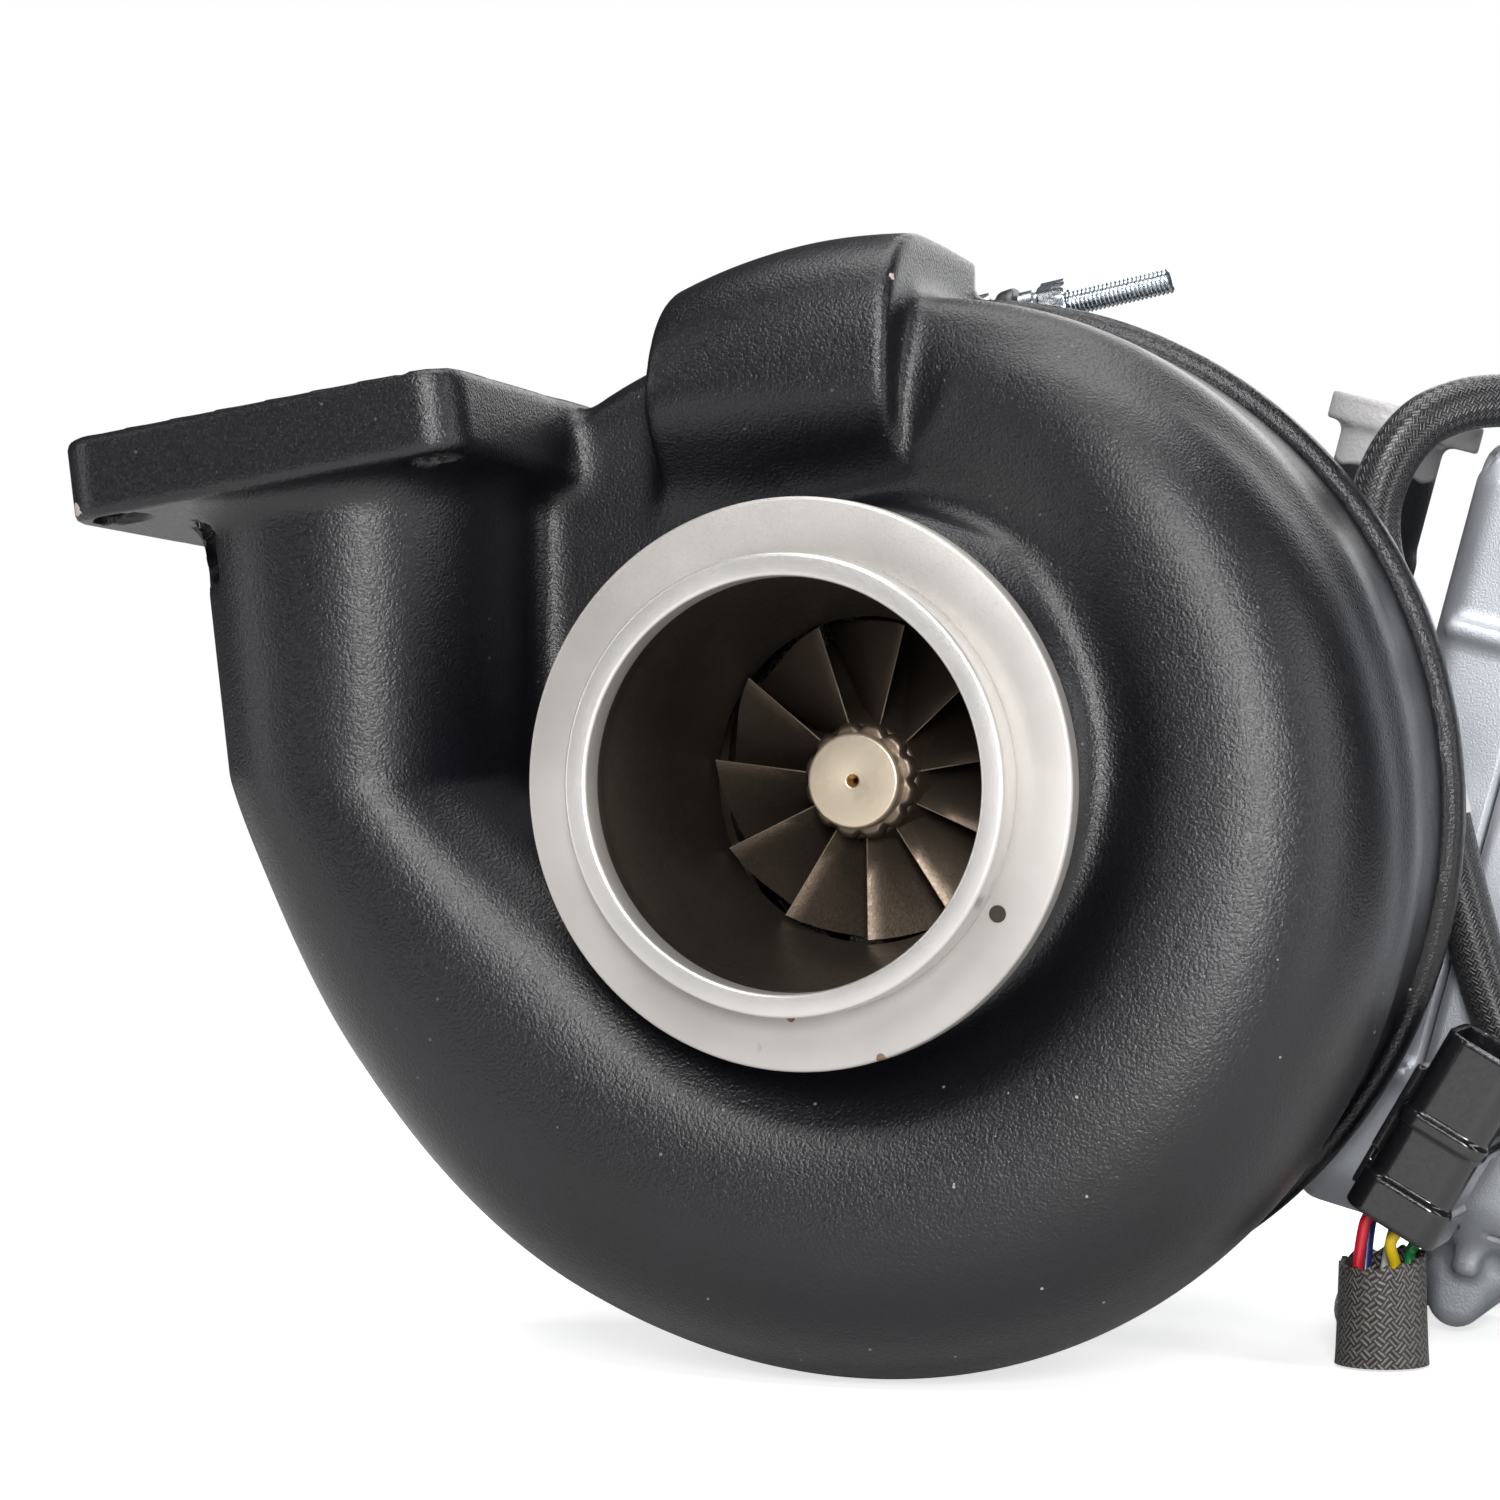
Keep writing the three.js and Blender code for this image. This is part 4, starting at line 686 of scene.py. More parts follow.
def housing_field(p):
    x, y, z = xyz(p)
    r = np.hypot(x, z)
    angle = turn_of(x, z)
    angle = np.where(angle < 180, angle + 360, angle)
    rim = through(RIM, angle) + np.maximum(0, angle - 470) / 70 * 20
    drum = slab_field(r - rim + 4, y, 62, 112, 6)
    lip = slab_field(r - rim, y, 110, 117, 2.2)
    boss = turned_field(p, [(0, 1.6), (56.5, 1.6), (57.2, 3), (56, 7), (50.5, 14), (50.5, 26), (58, 40),
                            (58, 75), (0, 75)])
    body = blend(scroll_field(p, 0.0), drum, 9)
    body = blend(body, boss, 11)
    # The hump: a sector of a drum, its front slanted and its top falling back.
    undercut = 30 - (y - 30) * math.cos(math.radians(40)) - (z - 52) * math.sin(math.radians(40))
    fall = (y - 120) * 0.1219 + (z - 130.5) * 0.9925 + 15
    hump = -blend(y - 47, 119 - r, 30)
    hump = -blend(-hump, -np.maximum(np.maximum(undercut, fall), np.maximum(y - 114, 30 - z)), 5)
    hump = -blend(-hump, -np.maximum(x - 4, -52 - x), 2.5)
    body = blend(body, hump, 5)
    q = inlet_frame(p)
    plate = slab_field(box_field(q[..., 0], q[..., 1], 47, 42.5, 9), q[..., 2], -18, 0, 2)
    body = blend(body, plate, 8)
    body = blend(body, lip, 3)
    joint = turned_field(p, [(0, 112), (84, 112), (84, 120.7), (89.8, 120.9), (89.8, 123.4), (0, 123.4)])
    body = np.minimum(body, joint)
    port = slab_field(box_field(q[..., 0], q[..., 1], 27, 26, 10), q[..., 2], -34, 30, 1)
    studs = np.hypot(np.abs(q[..., 0]) - 37, np.abs(q[..., 1]) - 33) - 6.15
    body = carve(body, scroll_field(p, 7.5), 1.5)
    body = carve(body, port, 1.2)
    body = carve(body, np.maximum(studs, -q[..., 2] - 40), 0.8)
    inside = turned_field(p, [(0, -20), (44.6, -20), (44.6, 4), (37.4, 44), (37.4, 50), (40, 57), (45, 66),
                              (66, 66), (66, 88),
                              (79.6, 88), (79.6, 130), (0, 130)])
    return carve(body, inside, 0.5)


STEP = 1.75
casting("housing_casting", "turbine_housing", housing_field, (-184, -2, -133), (129, 128, 128), STEP,
        sharp=60)


def flange_face():
    """The flange's ring, its lip and the bore, each with its own finish, and painted shade for the locating
    hole, which is not cut: a dark ring and a dark disc on the face.
    """
    face = dict(stands_for="turbine_housing", slot="black_paint_machined")
    turned([(LIP_R - 1, 0), (OUTLET_R, 0), (OUTLET_R, 5.2), (OUTLET_R - 1.2, 6.4), (LIP_R - 1, 6.4)], 160,
           0.8).piece(
        "outlet_flange", material=FACE, **face)
    turned([(BORE_R, LIP_Y), (LIP_R, LIP_Y), (LIP_R, 0.6), (BORE_R + 2, 0.6), (BORE_R, -2)], 160, 0.9).piece(
        "outlet_lip", material=LIP, **face)
    turned([(BORE_R + 0.2, -2.5), (BORE_R + 0.2, 2), (SHROUD_R, 43), (SHROUD_R, 50), (37, 56), (42, 65),
            (43.8, 68.6),
            (45.5, 68.6), (40.4, 57), (37.6, 50), (37.6, 44), (44.8, 2), (44.8, -2.5)], 128, 1.4).piece(
        "outlet_bore", material=BORE, **face)
    # Painted shade: a dark ring laid on the flange face stands for the shaded mouth of the locating hole,
    # which is not cut.
    Shell().grid(bar((43, -0.25, -25.5), (43, 0.5, -25.5), [(0, 1.2), (0, 1.75), (0.5, 1.75), (0.5, 1.2)],
                     24),
                 wrap_rows=True).piece(
        "painted_hole_shade_ring", material=BORE, slot="black_paint_machined")
    # Painted shade: a dark disc laid on the flange face stands for the shaded inside of the locating hole.
    Shell().grid(bar((43, -0.12, -25.5), (43, 0.4, -25.5), [(0, 1.25), (0.5, 1.25)], 24)).piece(
        "painted_hole_shade_disc", material=BORE, slot="black_paint_machined")


flange_face()


# ---------- rotor ----------
def bladed(count, first, hub, tip, twist, thickness, along=(0.0, 1.0), rows=18, columns=7):
    """Blades round a hub: each is a sheet between a hub line and a tip line of (radius, y), swept by a twist
    angle along its length and given a thickness that thins towards the tip, with rounded end edges."""
    shell = Shell()
    s = np.linspace(*along, rows)
    v = np.linspace(0, 1, columns)
    hr, hy = hub(s)
    tr, ty = tip(s)
    r = hr[:, None] + (tr - hr)[:, None] * v
    y = hy[:, None] + (ty - hy)[:, None] * v
    edge = np.sqrt(np.clip(1 - (2 * np.abs((s - along[0]) / (along[1] - along[0]) - 0.5)) ** 14, 0.02, 1))
    half = (thickness(v)[None] * edge[:, None]) / (2 * r)
    for k in range(count):
        base = twist(s)[:, None] + math.radians(first) + k * TURN / count
        sides = [np.stack([r * np.cos(base + g * half), y, -r * np.sin(base + g * half)],
                          -1) for g in (-1, 1)]
        loop = np.concatenate([sides[0], sides[1][::-1]])
        shell.grid(loop.transpose(1, 0, 2))
    return shell


TURBINE_BLADES = 11
hub_turbine = lambda t: (8.6 + 14 * t ** 2, 46 + 31.7 * t)
tip_turbine = lambda t: (34 + 7.6 * np.maximum(0, t - 0.25) ** 1.5 / 0.65, 45 + 31 * t ** 0.9)
wheel = bladed(TURBINE_BLADES, 13, hub_turbine, tip_turbine, lambda t: 0.75 * (1 - t) ** 2,
               lambda v: 2.4 - 1.3 * v)
wheel.grid(turned_grid(rounded([(6, 43.6), (12.2, 44.2), (12.6, 48), (13.4, 52), (16.4, 62), (22.6, 72),
                                (34, 80.6), (36, 82),
                                (36, 84), (14, 86), (9, 87), (9, 101), (5.5, 101.6), (5.5, 191),
                                (3.9, 191.6), (3.9, 262)],
                               1.2), 96))
wheel.piece("turbine_wheel_skin", "turbine_wheel")
on_rotor = dict(body="rotor", slot="nickel_alloy")
# The balance ring is scalloped: twelve shallow bites out of its edge.
scallops = lambda profile, angle: -1.1 * (profile[:, :1] > 9) * (0.5 + 0.5 * np.cos(12 * angle)) ** 3
turned([(5, 40.6), (11.7, 40.9), (12.5, 42.2), (12.5, 44.6), (5, 45)], 192, 0.7, True, scallops).piece(
    "balance_ring", **on_rotor)
turned([(1.3, 37), (9.7, 37), (10.2, 37.6), (10.2, 41.4), (1.3, 41.4)], 96, 0.4).piece(
    "wheel_nose", material=NOSE, **on_rotor)
turned([(0.5, 39), (1.5, 37.6), (2.1, 36.95), (1.2, 41), (0.5, 41)], 48, 0.1).piece(
    "centre_drill", material=BRONZE, **on_rotor)
hub_compressor = lambda t: (8 + 30 * t ** 2.2, 245 - 35.8 * t ** 0.9)
tip_compressor = lambda t: (30 + 11 * t ** 3, 245 - 32 * t)
sweep = lambda t: -0.9 * (1 - t) ** 2
impeller = bladed(7, 4, hub_compressor, tip_compressor, sweep, lambda v: 1.8 - 1.0 * v, (0, 0.97))
splitters = bladed(7, 4 + 180 / 7, hub_compressor, tip_compressor, sweep, lambda v: 1.8 - 1.0 * v,
                   (0.35, 0.97), 14)
impeller.join(splitters)
impeller.grid(turned_grid(rounded([(4.2, 207), (41, 207), (41, 208.4), (26, 213), (15, 224), (11, 235.4),
                                   (9.5, 248), (4.2, 248)],
                                  1.0, 4, True), 96), wrap_rows=True)
impeller.piece("compressor_wheel_skin", "compressor_wheel")


# ---------- clamps ----------
def channel(r_lip, r_in, r_out, y0, y1, gap_at, gap_half):
    """A band of channel section carried round the shaft, left open at one angle."""
    section = rounded([(r_lip, y0), (r_out - 1.2, y0), (r_out, y0 + 2), (r_out, y1 - 2), (r_out - 1.2, y1),
                       (r_lip, y1), (r_lip, y1 - 1.6),
                       (r_in, y1 - 3), (r_in, y0 + 3), (r_lip, y0 + 1.6)], 0.9, 3, True)
    half = math.asin(gap_half / r_out)
    angle = np.linspace(gap_at + half, gap_at + TURN - half, 150)
    grid = np.stack([section[None, :, 0] * np.cos(angle)[:, None],
                     np.broadcast_to(section[None, :, 1], (150, len(section))),
                     section[None, :, 0] * np.sin(angle)[:, None]], -1)
    return Shell().grid(grid)


def at_turn(angle):
    """The frame at the top of a ring turned to an angle: x along the tangent, z outwards."""
    return lambda p: about_y(p, math.sin(angle), math.cos(angle))


def threaded(length, radius, pitch, start=0.0):
    """Profile of a threaded bar: (distance, radius) pairs that rise and fall once each pitch."""
    x = np.arange(0, length - 0.6, pitch / 4)
    ridge = radius - 0.62 * pitch * np.abs(((x / pitch) % 1) * 2 - 1)
    ridge = np.minimum(ridge, radius - 0.05)
    return [(start, radius - 0.8 * pitch)] + list(zip(start + 0.3 + x, ridge)) + [(start + length,
                                                                                   radius - pitch)]


def clamp_set(band_node, bolt_node, nut_node, angle, y, bolt_r, r_lip, r_in, r_out, y0, y1, bolt_end, nut_at):
    """A band with a loop at each side of its gap, a T-bolt through the loops and its sleeve nut."""
    to_ring = at_turn(angle)
    band = channel(r_lip, r_in, r_out, y0, y1, angle, 14)
    loops = Shell()
    for x in (-16, 21):
        tube = np.array(rounded([(x - 4.5, 3.4), (x - 4.5, 6.5), (x + 4.5, 6.5), (x + 4.5, 3.4)], 0.6, 3,
                                True))
        loops.grid(bar((0, y, bolt_r), (1, y, bolt_r), tube, 32), wrap_rows=True)
        strap = rounded([(x - 4.5, y - 5), (x + 4.5, y - 5), (x + 4.5, y + 5), (x - 4.5, y + 5)], 1.5, 3,
                        True)
        loops.grid(np.stack([np.c_[strap, np.full(len(strap), z)] for z in (r_out - 2.5, bolt_r - 4.5)]))
    band.join(loops, to_ring).piece(band_node + "_skin", band_node)
    bolt = Shell().grid(bar((-26, y, bolt_r), (bolt_end, y, bolt_r),
                            [(0, 3), (nut_at + 22, 3)] + threaded(bolt_end - nut_at + 4, 3.05, 1.0,
                                                                  nut_at + 22.2), 28))
    head = rounded([(-27.5, bolt_r - 3), (-23, bolt_r - 3), (-23, bolt_r + 3), (-27.5, bolt_r + 3)], 1.2, 3,
                   True)
    bolt.grid(np.stack([np.c_[head[:, 0], np.full(len(head), v), head[:, 1]] for v in (y - 6.5, y + 6.5)]))
    bolt.piece(bolt_node + "_skin", bolt_node, to_ring)
    # Sleeve nut: a bright round collar and a chamfered hexagon.
    nut = Shell().grid(bar((nut_at, y, bolt_r), (nut_at + 5.4, y, bolt_r),
                           [(0, 3.3), (0, 4.4), (0.5, 4.9), (3.6, 4.9), (4.2, 4.4), (5.4, 4.4), (5.4, 3.3)],
                           40), wrap_rows=True)
    hexes = []
    turn = np.arange(48) * TURN / 48
    flat = 5.9 * math.cos(math.pi / 6) / np.cos((turn + math.pi / 6) % (math.pi / 3) - math.pi / 6)
    for x, chamfer in ((5.0, 0.86), (5.6, 1.0), (11.0, 1.0), (11.5, 0.86)):
        r = np.minimum(flat, 5.9 * chamfer)
        hexes.append(np.stack([np.full(48, nut_at + x), y + r * np.cos(turn), bolt_r + r * np.sin(turn)], -1))
    bore = [np.stack([np.full(48, nut_at + x), y + 3.2 * np.cos(turn), bolt_r + 3.2 * np.sin(turn)],
                     -1) for x in (11.5, 5.0)]
    nut.grid(np.stack(hexes + bore), wrap_rows=True)
    nut.piece(nut_node + "_skin", nut_node, to_ring, sharp=24)


MAIN_TURN = math.radians(101)
clamp_set("v_band_clamp", "clamp_t_bolt", "clamp_nut", MAIN_TURN, 124, 100.5, 85, 90.4, 94.5, 118, 130.2, 67,
          31.4)
clamp_set("cover_clamp", "cover_clamp_bolt", "cover_clamp_nut", math.radians(190), 204, 95.5, 80, 84.4, 88.6,
          193.9, 210.2, 44, 26)
Shell().grid(bar((25.6, 124, 100.5), (31.1, 124, 100.5),
                 rounded([(0, 3.2), (0, 4.6), (1.6, 6), (4.4, 6.3), (5.5, 6.1), (5.5, 3.2)],
                                                              0.8, 3, True), 40), wrap_rows=True).piece(
    "clamp_trunnion_skin", "clamp_trunnion", at_turn(MAIN_TURN))


# ---------- middle and compressor ----------
def bearing_housing_field(p):
    x, y, z = xyz(p)
    core = turned_field(p, [(0, 93), (45.4, 93), (45.4, 122), (64.6, 122), (64.6, 93), (79, 93), (79, 124),
                            (90, 124), (90, 127.5),
                            (84, 127.5), (84, 132), (76, 138), (76, 189), (60, 196), (0, 196)])
    waist = turned_field(p, [(80, 142), (69, 150), (69, 178), (80, 186)])
    core = carve(core, waist, 5)
    body = blend(core, bar_field(p, (0, 155, 60), (0, 155, 86), 15, 1.5), 6)
    body = blend(body, bar_field(p, (0, 155, -60), (0, 155, -86), 21, 1.5), 6)
    q = unleaned(p)
    pad = slab_field(box_field(q[..., 1] - 166, q[..., 2] + 14, 24, 52, 10), q[..., 0], 50, 90.7, 1.5)
    body = blend(body, pad, 6)
    body = blend(body, bar_field(q, (62, 168, 20), (62, 168, 63.7), 15, 1.2), 5)
    for a, b, radius in (((0, 155, 70), (0, 155, 90), 3), ((0, 149, -70), (0, 150.4, -90), 7)):
        body = carve(body, bar_field(p, a, b, radius, 0.1), 0.8)
    for sx in (-1, 1):
        body = carve(body, bar_field(p, (sx * 10, 155, 74), (sx * 10, 155, 90), 2.2, 0.1), 0.5)
        body = carve(body, bar_field(p, (sx * 14.5, 155, -74), (sx * 14.5, 155, -90), 2.6, 0.1), 0.5)
    body = carve(body, bar_field(q, (-90, 168, -34), (-60, 168, -34), 9.4, 0.1), 0.8)
    return carve(body, np.hypot(x, z) - 9.6, 0.5)


MID = 1.9
casting("bearing_housing_casting", "bearing_housing", bearing_housing_field, (-95, 90, -92), (104, 200, 98),
        MID,
        material=IRON, slot="dark_steel")

COVER_START, COVER_TUBE_Y, COVER_PIPE_X = -138.0, 236.0, -83.4


def cover_field(p):
    x, y, z = xyz(p)
    shell = turned_field(p, [(0, 204), (84, 204), (84, 207.5), (79, 208), (79, 213), (62, 238), (40, 252),
                             (37, 262), (37, 279),
                             (39, 281), (39, 285), (0, 285)])
    angle = np.degrees(np.arctan2(z, x))
    angle = np.where(angle < COVER_START, angle + 360, angle)
    grown = np.clip((angle - COVER_START) / (180 - COVER_START), 0, 1)
    tube = 10 + 12.5 * grown
    out = np.hypot(x, z) - 53 - 1.35 * tube
    from_spiral = np.hypot(out, y - COVER_TUBE_Y) - tube
    from_pipe = np.hypot(x - COVER_PIPE_X, y - COVER_TUBE_Y)
    pipe = np.maximum(from_pipe - 22.5, np.maximum(z - 2, -127.5 - z))
    pipe = np.minimum(pipe, slab_field(from_pipe - 24.4, z, -127.5, -121.5, 1.5))
    body = blend(blend(shell, np.where(angle <= 180, from_spiral, 30.0), 7), pipe, 5)
    hollow = np.minimum(np.maximum(from_pipe - 18.5, z - 2), np.where(angle <= 180, from_spiral + 4, 30.0))
    body = carve(body, hollow, 0.6)
    return carve(body, turned_field(p, [(0, 203), (61, 203), (61, 212.8), (42.6, 212.8), (41.5, 213.5),
                                        (36, 222), (32.5, 234),
                                        (31, 245), (31, 270), (35, 287), (0, 287)]), 0.8)


casting("compressor_cover_casting", "compressor_cover", cover_field, (-115, 201, -131), (100, 288, 104), MID)


# ---------- coolant neck ----------
def neck_field(p):
    x, y, z = p[..., 0] - 65, p[..., 1] - 168, p[..., 2]
    body = bar_field(p, (65, 168, 64.3), (65, 168, 101), 12, 0.8)
    body = blend(body, bar_field(p, (62, 168, 64.3), (62, 168, 71), 14.5, 1.2), 4)
    ears = np.minimum(np.hypot(x - 14, y) - 6, np.hypot(x + 9.5, y) - 5.8)
    plate = slab_field(blend(np.hypot(x, y) - 13.2, ears, 7), z, 98.6, 105, 0.8)
    body = blend(body, plate, 3)
    body = carve(body, bar_field(p, (65, 168, 66), (65, 168, 120), 8, 0.2), 0.8)
    for sx in (-10.8, 14):
        body = carve(body, np.hypot(x - sx, y) - 2.2 + np.maximum(0, 90 - z) * 9, 0.5)
    return body


def neck_finish():
    """Black paint that ends raggedly below the flange, on bare cast metal."""
    made, tree, shader, skin, colour = cast_finish("neck_paint", (0.008, 0.008, 0.01), (0.013, 0.013, 0.016),
                                                   0.45, 0.1, 1100.0, 0.0002, 0.3)
    up = node(tree, "ShaderNodeSeparateXYZ", {"Vector": place_of(tree)})
    lean = maths(tree, "ADD", up.outputs["Z"], maths(tree, "MULTIPLY", up.outputs["X"], math.tan(LEAN)))
    end = in_place(leaned((65, 168, 91)))
    paint_end = float(end[2] + end[0] * math.tan(LEAN))
    rag = maths(tree, "MULTIPLY", maths(tree, "SUBTRACT", skin.outputs["Mottle"], 0.5), 0.02)
    bare = spread(tree, maths(tree, "ADD", lean, rag), paint_end, paint_end + 0.0012)
    tree.links.new(mixed(tree, bare, colour, (0.42, 0.41, 0.41, 1)), shader.inputs["Base Color"])
    return made


casting("coolant_neck_skin", "coolant_neck", neck_field, (41, 150, 62), (89, 186, 107),
        0.75,
        leaned, material=neck_finish(), slot="black_paint")


# ---------- actuator ----------
ACT_Y, ACT_Z = (138.0, 204.0), (-75.0, 104.0)
CORNERS = [(y, z) for z in (ACT_Z[0] + 6.5, ACT_Z[1] - 6.5) for y in (ACT_Y[0] + 6.5, ACT_Y[1] - 6.5)]


def outline_at(q, inset=0.0):
    return box_field(q[..., 1] - 171, q[..., 2] - 14.5, 33 - inset, 89.5 - inset, 12 - inset / 2)


def corner_bores(q, body, radius=2.7):
    for y, z in CORNERS:
        body = carve(body, np.hypot(q[..., 1] - y, q[..., 2] - z) - radius, 0.4)
    return body


def gear_housing_field(q):
    body = slab_field(outline_at(q), q[..., 0], 91, 114.7, 7)
    body = np.minimum(body, slab_field(outline_at(q), q[..., 0], 104, 114.7, 1.0))
    for z in (-40, -5, 60):
        body = blend(body, slab_field(box_field(q[..., 0] - 103, q[..., 2] - z, 9, 1.6, 1.2), q[..., 1],
                                      136.6, 150, 0.8), 3)
    body = carve(body, slab_field(outline_at(q, 4), q[..., 0], 95, 116, 2), 0.8)
    body = carve(body, bar_field(q, (80, 168, -34), (100, 168, -34), 9.4, 0.1), 0.6)
    return corner_bores(q, body)


def actuator_body_field(q):
    x, y, z = xyz(q)
    body = slab_field(outline_at(q), x, 115, 160, 4)
    body = np.minimum(body, slab_field(outline_at(q), x, 115, 126, 1.0))
    foot = slab_field(blend(box_field(x - 137, z + 72, 13, 12, 2), np.hypot(x - 133.7, z + 87.9) - 6.6, 8),
                      y, 150, 190, 2.5)
    groove = np.hypot(x - 146, z + 84) - 2.2
    body = blend(body, carve(foot, groove, 2), 4)
    body = blend(body, slab_field(box_field(x - 135, z + 70, 3, 11, 2), y, 143, 200, 1.5), 3)
    body = blend(body, bar_field(q, (126, 160, 96), (126, 160, 105), 9.5, 1.2), 3)
    body = carve(body, slab_field(outline_at(q, 5), x, 120, 162, 2), 0.8)
    return corner_bores(q, body)


def actuator_cover_field(q):
    crown = -blend(-slab_field(outline_at(q, 9), q[..., 0], 160.3, 168, 2), -(q[..., 0] - 165.99), 0.1)
    return corner_bores(q, blend(slab_field(outline_at(q), q[..., 0], 160.3, 166, 2), crown, 2))


ACT_STEP = 1.6
for node_name, field, low, high in (("gear_housing", gear_housing_field, (88, 132, -79), (118, 208, 108)),
                                    ("actuator_body", actuator_body_field, (112, 134, -99), (163, 208, 109)),
                                    ("actuator_cover", actuator_cover_field, (158, 134, -79),
                                     (169, 208, 108))):
    casting(node_name + "_casting", node_name, field, low, high, ACT_STEP, leaned, 70)


# ---------- harness ----------
ROUTE = [(138, 158.6, 80.3), (131, 157.6, 82.7), (123, 156, 84.2), (115, 152, 84.5), (107.5, 147, 83.2),
         (100, 141.2, 79),
         (94.2, 137.4, 71), (90.9, 134.8, 60.5), (91.6, 132.4, 49.5), (95.4, 131.2, 38), (99.6, 130.4, 25.5),
         (102.8, 130, 12),
         (106, 130, -3), (109.6, 130, -18), (113.4, 130, -33), (117.8, 130, -48), (123.2, 129.6, -63),
         (129.6, 129, -78),
         (137.4, 128.6, -93), (146.6, 130, -106.5), (157, 135, -116.4), (166, 145, -121),
         (169.5, 159, -121.3), (169.5, 175, -121.3),
         (167, 191, -121.3), (160, 206, -121.3), (147, 216.5, -121.3), (130, 220, -121.3),
         (113, 216.5, -121.3), (99.5, 206, -121.3),
         (90, 191, -121.3), (85, 174, -121.3), (84.5, 156, -121.3), (87.2, 139, -121.3),
         (91.4, 124.5, -120.4), (95.8, 113.2, -117.6)]


def flow_uv(along, sides):
    """Turns round a tube, from 0 to 1, and metres along it; the column where it closes is repeated."""
    return np.stack(np.broadcast_arrays((np.arange(sides + 1) / sides)[None], along), -1)


sleeve_path, sleeve_length = smooth_path(ROUTE, 2.0)
SIDES = 32


def open_tube(path, length, radius, sides):
    """A tube with an extra column where it closes, so that its UV map runs once round."""
    ring = tube_grid(path, radius, sides)
    grid = np.concatenate([ring, ring[:, :1]], 1)
    uv = flow_uv(np.linspace(0, length / 1000, len(path))[:, None], sides)
    quads = grid_faces(len(path), sides + 1, False, False)
    caps = [np.arange(sides)[::-1], np.arange(sides) + (len(path) - 1) * (sides + 1)]
    a, b, c = grid.reshape(-1, 3)[quads[0, :3]]
    if np.dot(np.cross(b - a, c - a), a - path[0]) < 0:
        quads, caps = quads[:, ::-1], [x[::-1] for x in caps]
    return grid, quads, caps, uv


grid, quads, caps, uv = open_tube(sleeve_path, sleeve_length, 6.0, SIDES)
sleeve = make_piece("harness_sleeve_braid", in_place(grid), quads, "harness_sleeve", caps=caps, uv=uv)
# A plain band of tape where the sleeve comes back into the open.
band_path = sleeve_path[(sleeve_path[:, 2] < 2) & (sleeve_path[:, 2] > -10) & (sleeve_path[:, 1] < 140)]
Shell().grid(tube_grid(band_path, 6.35, 32)).piece("sleeve_tape", material=TAPE, slot="woven_black")

boot_path, _ = smooth_path([(126, 160, 105.5), (126, 160, 108.6), (122.4, 159.6, 112.2),
                            (113, 158.6, 113.3)], 0.8)
ribs = 7.4 + 0.5 * np.cos(np.arange(len(boot_path)) * 1.3) + 0.4
Shell().grid(tube_grid(boot_path, ribs, 32)).piece("cable_boot_ribbed", "cable_boot", leaned)

CUP_X, CUP_Y, CUP_BASE = 100.0, 101.0, -127.2


def cut_cup():
    """The sleeve's cut end: a flared cup whose rim is oblique and runs in teeth, with its inner wall."""
    sides, rows = 120, 22
    angle = np.arange(sides + 1) * TURN / sides
    rim = 22.2 + 1.6 * np.sin(angle + 0.6) + 1.15 * np.abs(((angle * 15 / math.pi) % 2) - 1)
    t = np.linspace(0, 1, rows)[:, None]

    def wall(inset, low):
        r = 10.3 - 0.9 * t ** 0.7 - inset
        return np.stack([CUP_X + r * np.cos(angle), CUP_Y + r * np.sin(angle),
                         CUP_BASE + low + t * (rim - low)], -1)

    grid = np.concatenate([wall(0, 0), wall(1.1, 1.0)[::-1]])
    uv = flow_uv(np.concatenate([t, t[::-1]]) * 0.023, sides)
    quads = grid_faces(2 * rows, sides + 1, False, False)
    caps = [np.arange(sides)[::-1], np.arange(sides) + (2 * rows - 1) * (sides + 1)]
    return make_piece("sleeve_end_woven", in_place(grid), quads, "sleeve_end", caps=caps, uv=uv, sharp=60)


cup = cut_cup()
shrink = Shell().grid(bar((104.2, 102, -123), (104.6, 102, -109),
                          [(0, 2.8), (0.6, 3.2), (12.6, 3.1), (14, 2.5)], 32)).piece(
    "heat_shrink_tube", "heat_shrink")

CONNECTOR_AT, CONNECTOR_TURN = np.array((102.5, 104, -96.5)), math.radians(30)


def from_connector(p):
    """Connector frame, z towards its mouth, to the shaft frame."""
    return about_y(p, math.cos(CONNECTOR_TURN), math.sin(CONNECTOR_TURN)) + CONNECTOR_AT


def connector_field(q):
    x, y, z = xyz(q)
    body = slab_field(box_field(x, y, 10, 12, 5), z, 2, 44, 0.5)
    body = blend(body, slab_field(box_field(x, y, 11, 13, 5), z, 0, 9, 0.8), 1)
    body = blend(body, slab_field(box_field(x, y, 10.7, 12.7, 5), z, 22, 25, 0.6), 1)
    body = blend(body, slab_field(box_field(x + 11, y, 1.8, 4, 0.6), z, 12, 33, 0.8), 0.8)
    body = blend(body, slab_field(box_field(x + 11.8, y, 1, 3, 0.5), z, 3, 12, 0.5), 0.8)
    body = carve(body, slab_field(box_field(x, y, 8.4, 10.4, 3.8), z, 18, 60, 0.6), 0.4)
    return carve(body, slab_field(box_field(x + 9, y, 0.8, 2.4, 0.3), z, 14, 30, 0.2), 0.3)


def lock_field(q):
    """The block in the socket, with a grid of cavities."""
    x, y, z = xyz(q)
    cavities = np.hypot((x + 30) % 5 - 2.5, (y + 30) % 6 - 3) - 1.4
    return carve(slab_field(box_field(x, y, 7, 9, 2.6), z, 18.3, 34, 0.6), np.maximum(cavities, 24 - z), 0.3)


plug = casting("connector_shell", "connector_body", connector_field, (-14, -15, -2), (14, 15, 46),
               0.6, from_connector, 40)
lock = casting("connector_lock_block", "connector_lock", lock_field, (-9, -11, 16), (9, 11, 36),
               0.55, from_connector, 40)

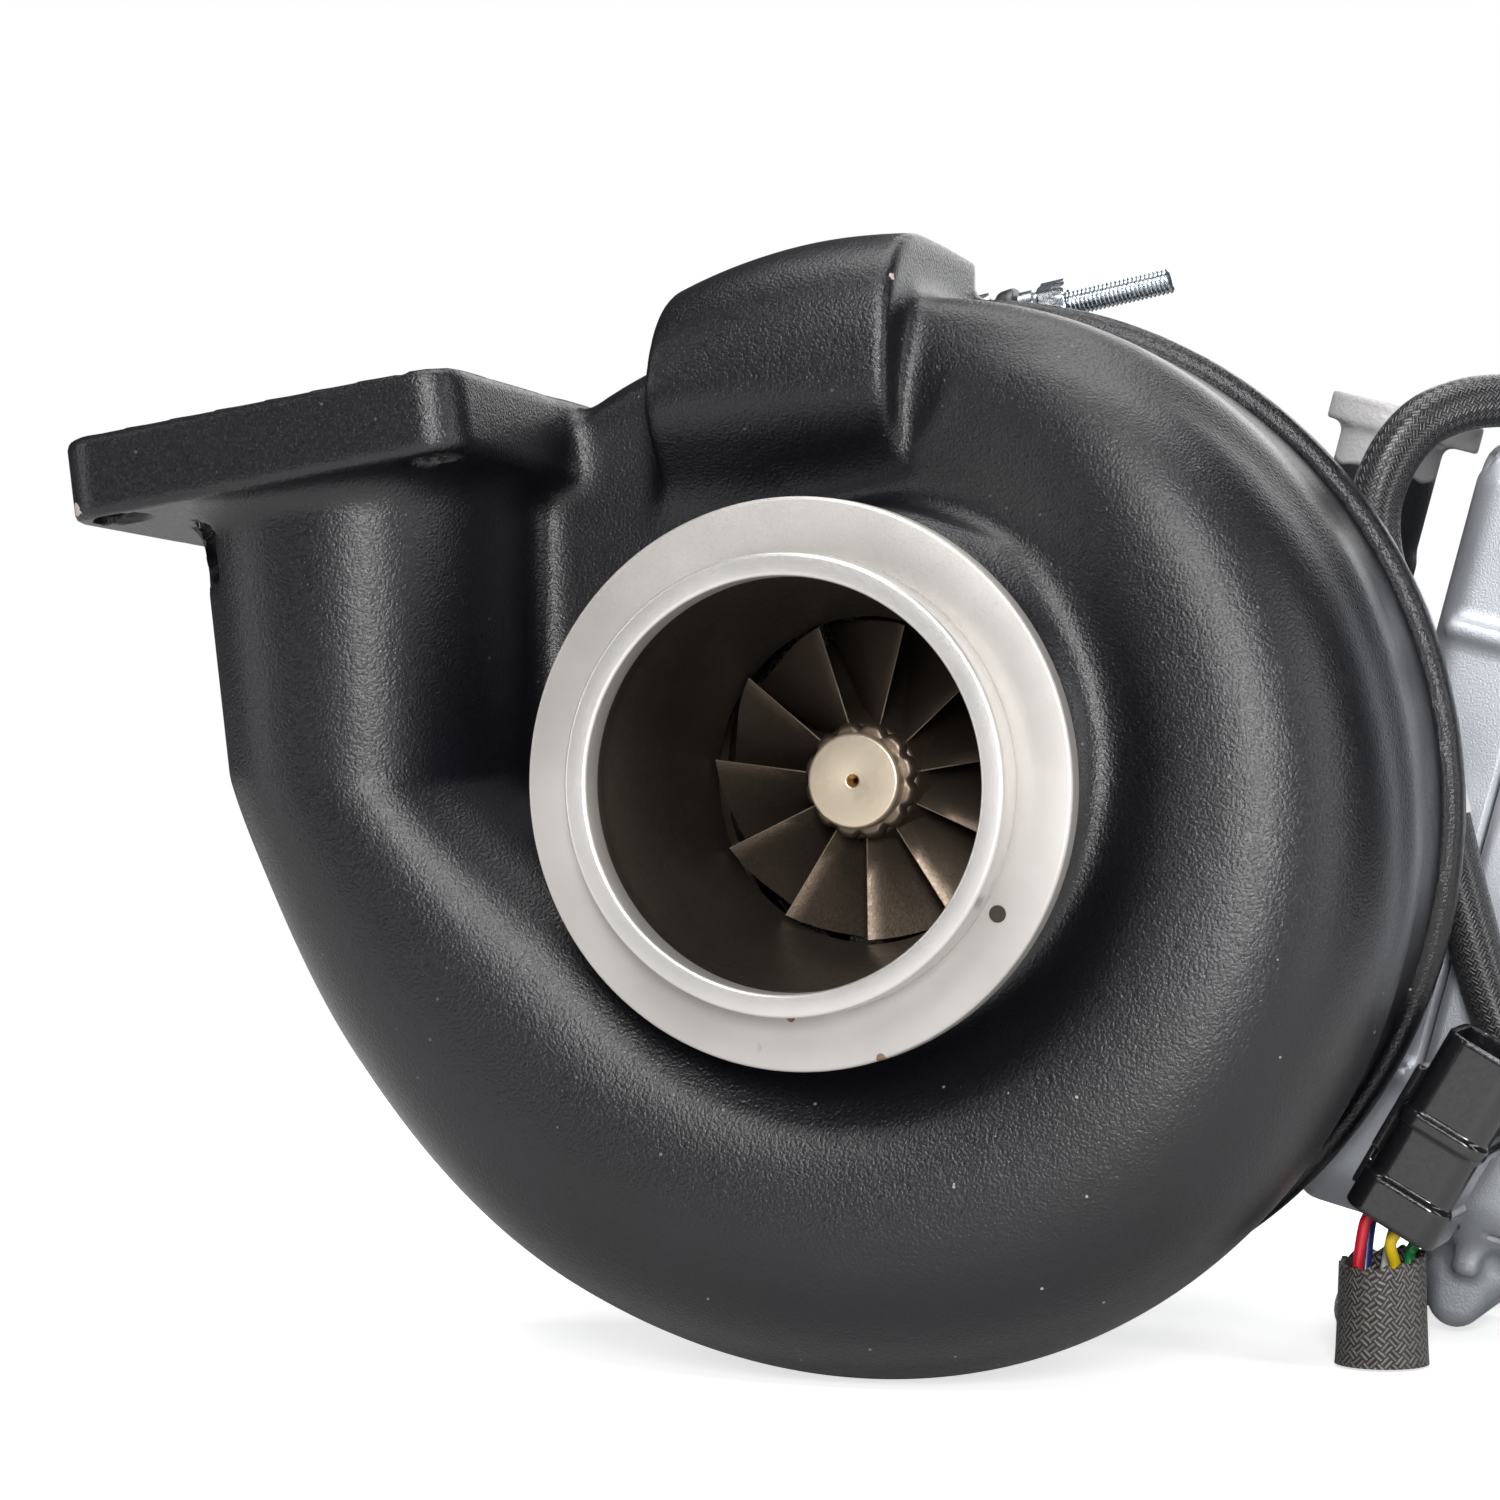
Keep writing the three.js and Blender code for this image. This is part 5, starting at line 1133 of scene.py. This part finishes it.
WIRES = {"red": ((94.6, 99.4, -120), (-5, -4)), "blue": ((95.6, 103.4, -120), (-5, 3)),
         "white": ((99.6, 105.4, -120), (0, 6)),
         "yellow": ((103, 100.4, -108.5), (2, -5)), "green": ((105.8, 102.6, -108.5), (6, 0))}
for label, (start, (x, y)) in WIRES.items():
    end, before = from_connector((x, y, 0.2)), from_connector((x, y, -4))
    rise = (start[0], start[1], max(start[2] + 3, -110))
    lead_path, _ = smooth_path([start, rise, tuple(before), tuple(end)], 0.7)
    Shell().grid(tube_grid(lead_path, 1.25, 20)).piece(f"wire_{label}_lead", f"wire_{label}")

# ---------- stage ----------
CAMERA_AT, CAMERA_TURN, CAMERA_DROP = (297.5, -849.4, 20.4), math.atan2(0.3305, 0.9438), math.radians(1.3)
camera_data = bpy.data.cameras.new("camera")
camera_data.lens, camera_data.sensor_width = 106.5, 36.0
camera_data.shift_x, camera_data.shift_y = -0.0299, 0.0232
camera = bpy.data.objects.new("camera", camera_data)
camera.location = in_place(CAMERA_AT)
camera.rotation_euler = (math.pi / 2 - CAMERA_DROP, 0, CAMERA_TURN)
bpy.context.scene.collection.objects.link(camera)
bpy.context.scene.camera = camera

floor_mesh = bpy.data.meshes.new("floor")
floor_mesh.from_pydata([(-1.6, -1.6, -0.0003), (1.6, -1.6, -0.0003), (1.6, 0.6, -0.0003),
                        (-1.6, 0.6, -0.0003)], [], [(0, 1, 2, 3)])
floor = bpy.data.objects.new("floor", floor_mesh)
bpy.context.scene.collection.objects.link(floor)
floor_finish, floor_tree, floor_shader = finish("pale_floor", 0.8, 0.0, Base_Color=(0.8, 0.8, 0.8, 1),
                                                Emission_Color=(1, 1, 1, 1))
lit = node(floor_tree, "ShaderNodeLightPath").outputs["Is Camera Ray"]
floor_tree.links.new(maths(floor_tree, "MULTIPLY", lit, 0.7), floor_shader.inputs["Emission Strength"])
floor_mesh.materials.append(floor_finish)


def soft_light(name, at, towards, width, height, power):
    """A rectangular light aimed at a point, places in the shaft frame in millimetres."""
    data = bpy.data.lights.new(name, "AREA")
    data.shape, data.size, data.size_y, data.energy = "RECTANGLE", width, height, power
    lamp = bpy.data.objects.new(name, data)
    lamp.location = in_place(at)
    lamp.rotation_euler = Vector(np.subtract(towards, at).tolist()).to_track_quat("-Z", "Y").to_euler()
    bpy.context.scene.collection.objects.link(lamp)


soft_light("key_box", (430, -1250, 330), (0, 20, 0), 0.28, 0.42, 15)
soft_light("front_box", (60, -820, 820), (0, 50, 10), 0.5, 0.35, 9)
soft_light("left_box", (-1000, -420, 250), (-60, 40, 20), 0.2, 1.1, 3)
soft_light("right_box", (1150, -250, 250), (60, 60, 0), 0.25, 1.2, 6)
soft_light("top_box", (-50, 150, 1000), (0, 50, 0), 0.8, 0.6, 7)
soft_light("back_box", (200, 1200, 600), (0, 100, 0), 1.0, 1.0, 8)
world = bpy.data.worlds.new("studio")
world.use_nodes = True
sky = world.node_tree
seen = sky.nodes["Background"]
seen.inputs["Color"].default_value, seen.inputs["Strength"].default_value = (1, 1, 1, 1), 1.0
dim = node(sky, "ShaderNodeBackground", {"Color": (0.9, 0.93, 1, 1), "Strength": 0.07})
either = node(sky, "ShaderNodeMixShader",
              {0: node(sky, "ShaderNodeLightPath").outputs["Is Camera Ray"], 1: dim.outputs[0],
                                           2: seen.outputs[0]})
sky.links.new(either.outputs[0], sky.nodes["World Output"].inputs["Surface"])
bpy.context.scene.world = world
bpy.context.scene.view_settings.view_transform = "Standard"
